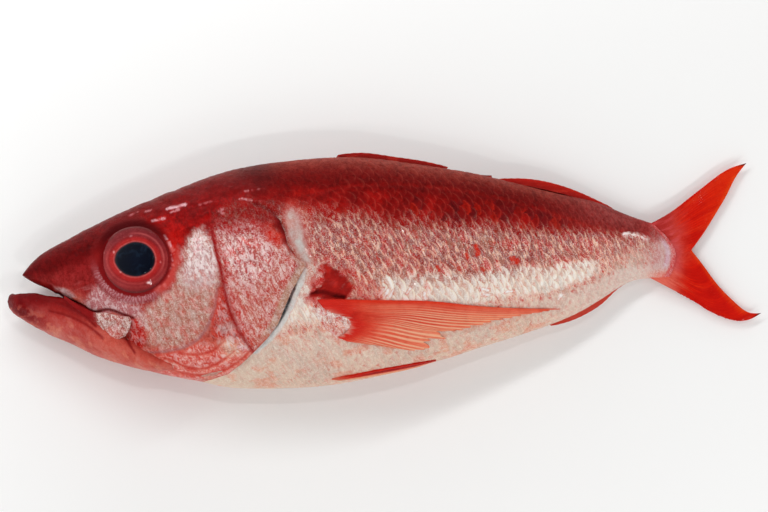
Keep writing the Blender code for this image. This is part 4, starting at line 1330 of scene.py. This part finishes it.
def lower_jaw(material):
    """The lower jaw and chin, sunk between its two edges where the tongue lies."""
    rows, turns = JAW_GRID
    share, turn = shares(rows, turns, math.pi / 2, math.pi / 2 - 2 * math.pi)
    x = JAW_START + JAW_LENGTH * share**1.7
    top, low, wide = spline(JAW_TOP_LINE)(x), spline(JAW_BOTTOM_LINE)(x), spline(JAW_HALF_WIDTH)(x)
    boxy = mixed(1.0, 0.82, ramp(share, 0.1, 0.35))
    up, across = np.sin(turn), np.cos(turn)
    up, across = np.sign(up) * np.abs(up) ** boxy, np.sign(across) * np.abs(across) ** boxy
    hollow = np.clip(1 - (np.abs(across) / 0.62) ** 2, 0, 1) * (up > 0) * ramp(share, 0.1, 0.3)
    rim = mixed(up, np.clip(up / 0.85, -2, 1), ramp(share, 0.15, 0.4))
    y = (top + low) / 2 + (top - low) / 2 * np.where(up > 0, rim, up) - (top - low) * 0.5 * hollow
    reach = np.where(across > 0, wide, np.minimum(wide, midline(x) - 0.4))
    points = np.stack([x, y, midline(x) + across * reach], axis=-1)
    skin = Skin(points)
    depth = np.clip((top - y) / (top - low), 0, 1)
    skin.tint(np.ones(skin.px.shape), (178, 58, 52))
    skin.tint(fall(depth, 0.08, 0.45), (128, 12, 14))
    skin.tint(ramp(depth, 0.35, 0.7) * ramp(skin.px, 20, 60) * 0.9, (196, 92, 84))
    skin.tint(ramp(depth, 0.7, 1.0) * 0.6, (208, 122, 106))
    skin.tint(fall(skin.px, 18, 60) * fall(depth, 0.7, 1.1) * 0.95, (104, 4, 10))
    skin.tint(fall(skin.px, 5, 11) * 0.7, (96, 14, 20))
    skin.tint(ramp(skin.px, 70, 115) * 0.7, (214, 104, 86))
    # Painted shade along the top of the jaw where the mouth gapes, over the lining's dark red.
    skin.tint(fall(depth, 0.0, 0.35) * ramp(skin.px, 58, 70) * fall(skin.px, 104, 116), (112, 14, 18))
    skin.tint(ramp(skin.noise(16, 81), 0.0, 0.5) * 0.25, (162, 40, 36))
    skin.tint(
        ramp(skin.noise(10, 82), 0.15, 0.6) * ramp(depth, 0.2, 0.5) * ramp(skin.px, 30, 60) * 0.4,
        (214, 136, 124)
    )
    skin.tint(ramp(skin.noise(7, 85), 0.25, 0.5) * ramp(depth, 0.4, 0.6) * 0.4, (226, 150, 120))
    skin.tint(
        skin.area(((24, 300), (46, 304), (52, 314), (36, 318), (26, 310)), 5, True) * 0.2, (196, 110, 104)
    )
    for fold in (
        ((50, 311), (72, 317), (91, 327), (104, 338)), ((60, 303), (80, 312), (97, 326)),
        ((128, 338), (136, 352))
    ):
        curve = smooth_points(fold, 16)
        skin.relief -= 0.5 * skin.stroke(curve, 3.6)
        skin.tint(skin.stroke(curve, 2.4) * 0.7, (124, 14, 16))
    # The mouth's lining in the sunk hollow, darkened as painted shade inside the mouth.
    skin.tint(ramp(hollow, 0.1, 0.5), (90, 12, 14))
    gums = (
        np.clip(1 - np.abs(hollow - 0.12) / 0.12, 0, 1) * (up > 0) * ramp(skin.px, 34, 42)
        * fall(skin.px, 62, 68)
    )
    skin.relief += gums * (0.7 * ramp(np.sin(skin.px * 0.62), -0.2, 0.8) + 0.2)
    skin.tint(gums * 1.4, (78, 6, 10))
    skin.relief += 0.25 * skin.noise(14, 83) + 0.1 * skin.noise(4, 84)
    skin.wet[:] = 0.5
    skin.white += 0.02 * ramp(depth, 0.3, 0.6)
    skin.red += 0.18
    skin.dark += 0.15 * fall(depth, 0.2, 0.6)
    normal = grid_normals(points)
    if normal[rows // 2, turns // 4, 2] < 0:
        normal = -normal
    normal[:, 0] = normal[:, -1] = (normal[:, 0] + normal[:, -1]) / 2
    points = points + normal * (skin.relief * ramp(share, 0.05, 0.2))[..., None]
    points[:, -1] = points[:, 0]
    return surface_piece(
        "lower_jaw", points, skin.looks(points[..., 2], (skin.px / 9, skin.py / 5)), material
    )


MAXILLA_MIDDLE = (
    (-175.0, -11.6), (-171.2, -13.8), (-161.6, -20.2), (-156.3, -23.4), (-152.0, -25.4), (-149.4, -27.3),
    (-146.7, -29.2), (-141.4, -30.0), (-137.1, -29.4), (-134.5, -27.4), (-133.6, -26.4),
)
MAXILLA_HALF_HEIGHT = (
    (-175.0, 0.9), (-171.2, 1.5), (-161.6, 2.0), (-156.3, 2.4), (-152.0, 3.2), (-149.4, 5.2), (-146.7, 6.9),
    (-141.4, 6.4), (-137.1, 5.3), (-134.5, 3.4), (-133.6, 2.4),
)
MAXILLA_REACH = ((-175.0, 7.0), (-168.0, 9.8), (-158.0, 13.0), (-148.0, 16.2), (-133.6, 18.8))
MAXILLA_GRID, MAXILLA_START, MAXILLA_LENGTH = (100, 64), -170.0, 36.4


def maxilla(side, material):
    """The side bone of the upper jaw, red in front and a scaled pale plate at its rear end."""
    share, turn = shares(*MAXILLA_GRID, -math.pi, math.pi)
    x = MAXILLA_START + MAXILLA_LENGTH * share
    tip = np.sqrt(np.clip((1 - share) * 14, 0.01, 1)) * np.sqrt(np.clip(share * 6, 0.01, 1))
    high = line(MAXILLA_HALF_HEIGHT)(x) * np.sqrt(np.clip((1 - share) * 40, 0.02, 1))
    up, across = np.sin(turn), np.cos(turn)
    y = line(MAXILLA_MIDDLE)(x) + high * np.sign(up) * np.abs(up) ** 0.85
    z = midline(x) + side * (spline(MAXILLA_REACH)(x) + 1.3 * tip * np.sign(across) * np.abs(across) ** 0.6)
    points = np.stack([x, y, z], axis=-1)
    skin = Skin(points)
    skin.tint(np.ones(skin.px.shape), (140, 22, 24))
    plate = ramp(skin.ragged_x, 94, 100)
    skin.tint(plate, (164, 118, 108))
    skin.tint(plate * ramp(skin.noise(7, 91), 0.0, 0.4) * 0.6, (180, 76, 70))
    skin.tint(
        skin.area(((100, 329), (112, 325), (124, 331), (120, 341), (106, 341)), 3, True) * 0.7, (204, 70, 58)
    )
    rim = ramp(np.abs(up), 0.72, 1.0) * plate
    skin.tint(rim * 0.4, (176, 76, 70))
    skin.tint((1 - plate) * ramp(skin.noise(14, 92), 0.1, 0.5) * 0.4, (184, 70, 68))
    skin.relief += 0.25 * skin.noise(7, 93) * plate + 0.12 * skin.noise(4, 94)
    skin.toward(plate, scaly=0.3, silver=0.4, white=0.4, red=0.4)
    skin.wet[:] = 0.35
    points = points + outward(points, side) * (skin.relief * tip)[..., None]
    points[:, -1] = points[:, 0]
    looks = skin.looks(points[..., 2] + (side < 0) * FAR_SIDE_SHIFT, (skin.px / 8, skin.py / 4.5))
    return surface_piece(sided("maxilla", side), points, looks, material, flip=side > 0)


# Fins.


def along_points(points, share):
    """Places at the given shares of a line of points, by length."""
    points = np.asarray(points, float)
    length = arc_length(points)
    return np.stack([np.interp(share, length / length[-1], column) for column in points.T], axis=-1)


def smooth_points(points, count=60):
    """A rounded version of a line of points, through all of them."""
    points = np.asarray(points, float)
    length = arc_length(points)
    fine = np.linspace(0, length[-1], count)
    return np.stack([spline(list(zip(length, column)))(fine) for column in points.T], axis=-1)


def patch(root_line, edge_line, first_side, last_side, rows, columns):
    """Photograph x and y of a four-sided fin: rows from root to edge, columns from first to last ray."""
    s, t = np.linspace(0, 1, rows)[:, None, None], np.linspace(0, 1, columns)[None, :, None]
    low, high = along_points(root_line, t[0, :, 0])[None], along_points(edge_line, t[0, :, 0])[None]
    left, right = along_points(first_side, s[:, 0, 0])[:, None], along_points(last_side, s[:, 0, 0])[:, None]
    corners = (1 - s) * (1 - t) * low[:, :1] + (1 - s) * t * low[:, -1:]
    corners = corners + s * (1 - t) * high[:, :1] + s * t * high[:, -1:]
    spot = (1 - s) * low + s * high + (1 - t) * left + t * right - corners
    return spot[..., 0], spot[..., 1]


def strip(upper, lower, s, t):
    """Photograph x and y between two smooth lines, from the upper one to the lower one along s."""
    first, last = (along_points(smooth_points(edge), t[0])[None] for edge in (upper, lower))
    return mixed(first[..., 0], last[..., 0], s), mixed(first[..., 1], last[..., 1], s)


def fin_piece(name, px, py, z, thickness, relief, tint, ridge, rays, material, wet=0.4, pale=0.0, up=None):
    """A fin over photograph points. Rays is the place along the rays and the place across them."""
    looks = {
        "tint": tint,
        "place": place_of(px, py, z),
        "lattice": np.stack([rays[0] * 4, rays[1], np.zeros_like(px)], axis=-1),
        "finish": np.stack([ridge, np.full(px.shape, wet), pale * np.ones_like(px)], axis=-1),
    }
    middle = np.stack([*frame_xy(px, py), z], axis=-1)
    return sheet_piece(name, middle, thickness, relief, looks, material, up)


TAIL_GRID, TAIL_RAYS = (120, 170), 24
PECTORAL_GRIDS, PECTORAL_RAYS = ((1, 110, 150), (-1, 70, 100)), 21
CREST_GRID, PELVIC_GRID = (26, 220), (22, 150)


def tail_fin(material):
    """The forked tail, thinner from its root to its edge, where the rays branch."""
    root_line = smooth_points(((640, 229), (656, 238), (662, 252), (658, 264), (640, 272)))
    edge_line = np.concatenate([
        smooth_points(((749, 162.5), (738, 177), (730, 193), (719, 212), (706, 233), (693.5, 250)), 40),
        smooth_points(((693.5, 250), (706, 266), (721, 286), (739, 304), (752, 313), (764, 313.5)), 40)[1:],
    ])
    upper = smooth_points(
        ((640, 229), (655, 222), (674, 211), (692, 197), (710, 183), (733, 167.5), (749, 162.5))
    )
    lower = smooth_points(
        ((640, 272), (652, 278), (673, 289), (700, 303), (733, 319), (748, 321), (764, 313.5))
    )
    px, py = patch(root_line, edge_line, upper, lower, *TAIL_GRID)
    s, t = shares(*TAIL_GRID)
    outer = np.abs(2 * t - 1)
    height = midline(frame_xy(px, py)[0])
    z = height + 0.6 * ramp(s, 0.2, 1) * noise(px, py, 45, 101) + 1.0 * ramp(s, 0.5, 1.0) * outer**3
    rays = t * TAIL_RAYS
    branched = mixed(wave(rays), wave(2 * rays), ramp(s, 0.35, 0.6))
    ridge = mixed(branched, wave(3 * rays), ramp(s, 0.7, 0.95) * 0.7)
    thickness = mixed(3.0, 0.7, ramp(s, 0.0, 0.5)) + 0.5 * ramp(outer, 0.85, 1.0) * (1 - s)
    thickness = thickness * (1 - 0.7 * ramp(s, 0.93, 1.0))
    relief = (
        0.1 * (ridge - 0.5) * ramp(s, 0.08, 0.3) * fall(s, 0.9, 1.0) + 0.06 * rough_noise(px, py, 12, 102)
    )
    tint = np.ones((*px.shape, 3)) * (228.0, 34.0, 10.0)
    streaks = [ramp(rough_noise(s * 20, t * 110, 5, seed), -0.1, 0.4) * 0.75 for seed in (105, 108)]
    overlay(
        tint,
        ((1 - ridge) * ramp(s, 0.05, 0.3) * 0.5, (184, 14, 6)),
        (ramp(rough_noise(s * 5, t * 120, 5, 107), 0.0, 0.4) * 0.6, (192, 14, 6)),
        (ramp(rough_noise(s * 9, t * 90, 6, 106), 0.1, 0.5) * 0.3, (242, 96, 50)),
        (ramp(rough_noise(px, py, 26, 103), 0.0, 0.6) * 0.45, (206, 20, 10)),
        (ramp(px, 690, 740) * ramp(260 - py, 0, 50) * 0.6, (240, 64, 14)),
        (ramp(py, 280, 300) * ramp(rough_noise(px, py, 14, 104), 0.1, 0.6) * 0.5, (196, 18, 12)),
        (fall(px + 0.2 * np.abs(py - 250), 672, 702), (208, 76, 66)),
        (fall(px, 660, 684) * fall(py, 236, 252), (184, 52, 50)),
        (fall(px, 668, 700) * fall(py, 244, 262) * streaks[0], (214, 84, 88)),
        (fall(px, 664, 696) * ramp(py, 256, 266) * streaks[1], (240, 132, 112)),
        (fall(px, 676, 690) * ramp(py, 236, 248) * fall(py, 266, 280) * 0.8, (214, 96, 100)),
        (fall(px, 662, 690) * ramp(py, 262, 274) * 0.9, (236, 124, 106)),
        (ramp(s, 0.93, 1.0) * fall(outer, 0.8, 0.95) * 0.5, (240, 104, 26)),
        (ramp(s, 0.92, 1.0) * ramp(outer, 0.96, 1.0), (52, 22, 24)),
    )
    return fin_piece("tail_fin", px, py, z, thickness, relief, tint, ridge, (s, rays), material, up=(0, 0, 1))


def pectoral_fin(side, material, rows, columns):
    """A long fin folded back along the flank, its rays fanning out from under a scaled lobe."""
    root_line = smooth_points(((318, 299), (327, 309), (342, 314), (351, 321), (347, 331), (338, 337)), 30)
    tips = (
        (560, 309), (550, 310.5), (528, 314), (514, 317), (500, 319.5), (484, 324), (466, 330), (446, 330.5),
        (438, 331), (446, 338), (436, 340), (428, 343), (430, 348), (413, 350), (398, 348), (384, 345),
    )
    upper = smooth_points(((318, 299), (341, 299), (392, 300), (433, 301), (470, 305), (560, 309)))
    lower = smooth_points(((338, 337), (360, 342), (384, 345)))
    px, py = patch(root_line, tips, upper, lower, rows, columns)
    s, t = shares(rows, columns)
    rays = t * PECTORAL_RAYS
    ridge, fine = wave(rays), wave(3 * rays, 1.0)
    ragged = (1 - ridge) * 6.0 + 4.0 * noise(t * 40, s, 1.3, 111) + 5.0 * noise(t * 40, s, 4.0, 115)
    back_off = ramp(s, 0.72, 1.0) * np.maximum(ragged, 0)
    px, py = px - back_off, py - 0.14 * back_off * ramp(t, 0.2, 0.5)
    gap = 0.9 + 0.7 * np.sin(math.pi * t) * ramp(s, 0.1, 0.5) * fall(s, 0.7, 1.0)
    gap = gap + 1.0 * np.exp(-(((s - 0.14) / 0.14) ** 2))
    gap = gap + 0.3 * noise(px, py, 26, 113) * ramp(s, 0.2, 0.5)
    z = surface_height(px, py, side) + side * gap * ramp(s, -0.08, 0.06)
    z = np.where(side > 0, z, np.maximum(z, 0.6))
    thickness = mixed(2.0, 0.5, ramp(s, 0.1, 0.6))
    relief = (0.22 * (ridge - 0.5) + 0.1 * (fine - 0.5) * ramp(s, 0.3, 0.6)) * (1 - 0.7 * ramp(s, 0.8, 1.0))
    relief += 0.1 * rough_noise(s * 60, t * 60, 9, 112)
    tint = mixed(np.array((222.0, 58, 40)), np.array((240.0, 116, 88)), ramp(s, 0.06, 0.4)[..., None])
    root_mark = fall(s + 0.05 * rough_noise(s * 30, t * 90, 4, 117), 0.0, 0.075)
    overlay(
        tint,
        (ramp(t, 0.2, 0.7) * ramp(s, 0.3, 0.8) * 0.7, (244, 146, 110)),
        ((1 - ridge) * ramp(s, 0.2, 0.6) * 0.4, (240, 156, 124)),
        (ridge * ramp(s, 0.1, 0.3) * 0.35, (222, 66, 46)),
        (ramp(rough_noise(s * 8, t * 60, 5, 114), 0.0, 0.5) * 0.45, (218, 56, 40)),
        (ramp(rough_noise(s * 6, t * 60, 4, 116), 0.1, 0.5) * ramp(s, 0.1, 0.3) * 0.4, (240, 150, 120)),
        (ramp(s, 0.8, 1.0) * ramp(t, 0.15, 0.4) * (1 - ridge * 0.5) * 0.6, (240, 168, 126)),
        (fall(t, 0.0, 0.12) * 0.85, (230, 58, 34)),
        (ramp(t, 0.05, 0.3) * fall(t, 0.3, 0.5) * ramp(s, 0.6, 0.85) * 0.6, (242, 110, 70)),
        (fall(s, 0.06, 0.2) * 0.8, (220, 46, 36)),
        (ramp(s, 0.55, 0.9) * ramp(t, 0.04, 0.2) * 0.35, (250, 172, 136)),
        (fall(t, 0.04, 0.3) * ramp(s, 0.5, 0.75) * 0.45, (248, 158, 124)),
        (root_mark * ramp(t, 0.1, 0.3) * 0.9, (226, 168, 156)),
    )
    pale = 0.75 * ramp(s, 0.2, 0.6) * ramp(t, 0.05, 0.3)
    name, up = sided("pectoral", side), (0, 0, side)
    return fin_piece(name, px, py, z, thickness, relief, tint, ridge, (s, rays), material, 0.35, pale, up)


# Folded fins and loose spines along the back and belly: name, line of the root, line of the edge, lean,
# slant of the rays, thickness, colour of the root and of the edge, and number of rays.
CRESTS = (
    ("spiny_dorsal_fin", ((336, 158), (360, 160), (400, 164), (446, 171)),
     ((338, 155), (363, 153), (391, 156.5), (422, 161), (448, 167)), -1.5, 6, 2.6, (124, 20, 18),
     (196, 34, 26), 14),
    ("soft_dorsal_fin", ((496, 181), (540, 189), (565, 195), (608, 210)),
     ((498, 179), (524, 178.5), (551, 182.5), (575, 190), (614, 208)), -1.5, 5, 2.4, (160, 20, 16),
     (216, 40, 24), 18),
    ("anal_fin", ((548, 324), (566, 317), (584, 309), (608, 292), (634, 278)),
     ((552, 326), (570, 321.5), (588, 313.5), (604, 303), (620, 288), (638, 278)),
     -1.0, 4, 2.0, (226, 92, 76), (232, 84, 66), 16),
    ("dorsal_spine_0", ((452, 174.5), (470, 177)), ((452, 171.5), (470, 174)),
     -0.6, 0, 1.4, (130, 24, 22), (150, 40, 34), 2),
    ("dorsal_spine_1", ((470, 177.5), (492, 178.5)), ((470, 174.5), (492, 175.5)),
     -0.6, 0, 1.4, (130, 24, 22), (150, 40, 34), 2),
)


def crest(material, name, root_line, edge_line, lean, slant, thick, tint_root, tint_edge, ray_count):
    """A folded fin along the back or belly, its rays lying back almost along the body."""
    s, t = shares(*CREST_GRID)
    px, py = strip(root_line, edge_line, s, t)
    z = midline(frame_xy(px, py)[0]) + lean * s
    rays = t * ray_count - s * slant
    ridge = wave(rays)
    ends = ramp(t, 0.0, 0.04) * fall(t, 0.96, 1.0)
    thickness = mixed(thick, 0.7, s) * mixed(0.3, 1.0, ends)
    tint_root = np.array(tint_root, float)
    tint = mixed(tint_root, np.array(tint_edge, float), s[..., None])
    overlay(
        tint,
        ((1 - ridge) * 0.5, tint_root * 0.7),
        (ramp(rough_noise(px, py * 3, 14, 121), 0.1, 0.5) * 0.35, (214, 70, 50)),
    )
    return fin_piece(
        name, px, py, z, thickness, 0.22 * (ridge - 0.5) * ends, tint, ridge, (s, rays), material
    )


def pelvic_fin(side, material):
    """A long narrow fin folded along the belly, red with a cream lower edge."""
    s, t = shares(*PELVIC_GRID)
    upper = ((332, 378), (349, 375), (371, 370.6), (402, 365), (436, 359.5))
    lower = ((332, 379.5), (349, 378.5), (371, 375.4), (402, 369.8), (436, 361))
    px, py = strip(upper, lower, s, t)
    rest = np.minimum(py, photo_xy(0, bottom(frame_xy(px, py)[0]))[1] - 0.6)
    z = surface_height(px, rest, side) + side * (0.7 - 0.2 * t) * ramp(t, -0.02, 0.12)
    z = np.where(side > 0, z, np.maximum(z, 0.8))
    ridge = wave(s * 5 + 0.3 * t)
    tint = mixed(np.array((206.0, 34, 18)), np.array((236.0, 176, 140)), ramp(s, 0.5, 0.8)[..., None])
    overlay(
        tint,
        (ramp(s, 0.15, 0.3) * fall(s, 0.4, 0.6) * ramp(t, 0.2, 0.4) * 0.9, (150, 8, 6)),
        (fall(t, 0.02, 0.22) * 0.8, (224, 130, 104)),
    )
    ends = ramp(t, 0.0, 0.08) * (1 - 0.7 * ramp(t, 0.8, 1.0))
    thickness, relief = 1.1 * mixed(0.3, 1.0, ends), 0.12 * ridge * ends
    name, up = sided("pelvic", side), (0, -0.5, side)
    return fin_piece(name, px, py, z, thickness, relief, tint, ridge, (t, s * 5), material, up=up)


# Stage.

CAMERA_DISTANCE, CAMERA_FAR_END = 3.0, 50.0
FOCUS_HEIGHT = 0.027
SENSOR = 36.0
PHOTO_SIZE = (768, 512)
FLOOR_REACH = 30.0
# The sky's strength changes from the first to the second between these heights of the view's direction.
SKY_HEIGHTS, SKY_STRENGTH = (0.15, 0.95), (1.1, 0.06)
# Lights from this size on are kept out of reflections.
LARGE_LIGHT = 1.0
# Name, place and size in metres, and power in watts.
LIGHTS = (
    ("key", (-0.7, 1.2, 1.6), (2.0, 1.6), 102),
    ("fill", (0.9, -1.2, 1.6), (2.0, 1.6), 84),
    ("left", (-1.5, -0.5, 1.5), (1.6, 1.6), 52),
    ("right", (1.6, 0.6, 1.5), (1.6, 1.6), 52),
    ("glint_a", (-0.9, 1.9, 0.6), (0.08, 0.08), 3),
    ("glint_b", (-0.2, 1.9, 0.9), (0.08, 0.08), 3),
    ("glint_c", (0.6, 1.8, 0.8), (0.08, 0.08), 3),
    ("glint_d", (-0.4, -0.9, 1.7), (0.08, 0.08), 3),
    ("glint_e", (0.3, -0.8, 1.8), (0.08, 0.08), 4),
    ("glint_f", (0.1, 0.5, 1.9), (0.06, 0.06), 3),
    ("glint_g", (-0.6, 1.3, 1.5), (0.08, 0.08), 4),
    ("glint_h", (0.0, 1.5, 1.2), (0.08, 0.08), 4),
)


def soft_light(name, place, size, power_watts):
    """A rectangle of light that faces the origin."""
    data = bpy.data.lights.new(name, "AREA")
    data.shape = "RECTANGLE"
    data.size, data.size_y = size
    data.energy = power_watts
    item = bpy.data.objects.new(name, data)
    item.location = place
    x, y, z = place
    item.rotation_euler = (math.atan2(math.hypot(x, y), z), 0.0, math.atan2(-x, y))
    item.visible_camera = False
    item.visible_glossy = size[0] < LARGE_LIGHT
    bpy.context.scene.collection.objects.link(item)


def stage():
    scene = bpy.context.scene
    mesh = bpy.data.meshes.new("floor")
    corners = [(x * FLOOR_REACH, y * FLOOR_REACH, 0) for x, y in ((-1, -1), (1, -1), (1, 1), (-1, 1))]
    mesh.from_pydata(corners, [], [(0, 1, 2, 3)])
    ground = bpy.data.objects.new("floor", mesh)
    mesh.materials.append(floor_material())
    scene.collection.objects.link(ground)
    ground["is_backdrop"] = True

    # The sky is dimmer straight above, so that wet skin doesn't turn milky.
    world = bpy.data.worlds.new("studio")
    world.use_nodes = True
    tree = world.node_tree
    split = tree.nodes.new("ShaderNodeSeparateXYZ")
    tree.links.new(tree.nodes.new("ShaderNodeTexCoord").outputs["Generated"], split.inputs[0])
    strength = tree.nodes.new("ShaderNodeMapRange")
    tree.links.new(split.outputs["Z"], strength.inputs["Value"])
    for key, value in zip(("From Min", "From Max", "To Min", "To Max"), SKY_HEIGHTS + SKY_STRENGTH):
        strength.inputs[key].default_value = value
    tree.links.new(strength.outputs["Result"], tree.nodes["Background"].inputs["Strength"])
    tree.nodes["Background"].inputs["Color"].default_value = (1.0, 1.0, 1.0, 1.0)
    scene.world = world
    for light in LIGHTS:
        soft_light(*light)

    data = bpy.data.cameras.new("camera")
    data.sensor_width = SENSOR
    data.lens = SENSOR * CAMERA_DISTANCE / (PHOTO_SIZE[0] * PIXEL * MM)
    camera = bpy.data.objects.new("camera", data)
    x, y = frame_xy(PHOTO_SIZE[0] / 2, PHOTO_SIZE[1] / 2)
    camera.location = (x * MM, y * MM, CAMERA_DISTANCE + FOCUS_HEIGHT)
    data.clip_end = CAMERA_FAR_END
    scene.collection.objects.link(camera)
    scene.camera = camera
    scene.view_settings.view_transform = "Standard"
    scene.view_settings.look = "None"


def build():
    before = [list(corner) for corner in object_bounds()]
    skin, fin, wet_eye = skin_material(), fin_material(), eye_material()
    made = []
    for side, columns in SKIN_COLUMNS:
        made += [
            body_skin(side, columns, skin), eye(side, wet_eye), maxilla(side, skin), pelvic_fin(side, fin)
        ]
    made += [lower_jaw(skin), tail_fin(fin)]
    made += [pectoral_fin(side, fin, rows, columns) for side, rows, columns in PECTORAL_GRIDS]
    made += [crest(fin, *row) for row in CRESTS]
    for piece in made:
        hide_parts("fish")
    stage()
    after = [list(corner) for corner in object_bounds()]


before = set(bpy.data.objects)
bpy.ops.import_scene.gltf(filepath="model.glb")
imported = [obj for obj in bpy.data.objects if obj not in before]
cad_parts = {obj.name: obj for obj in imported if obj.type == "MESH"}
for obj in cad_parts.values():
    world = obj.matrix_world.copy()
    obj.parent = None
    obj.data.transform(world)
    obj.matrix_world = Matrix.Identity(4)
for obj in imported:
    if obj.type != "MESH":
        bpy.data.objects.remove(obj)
build()
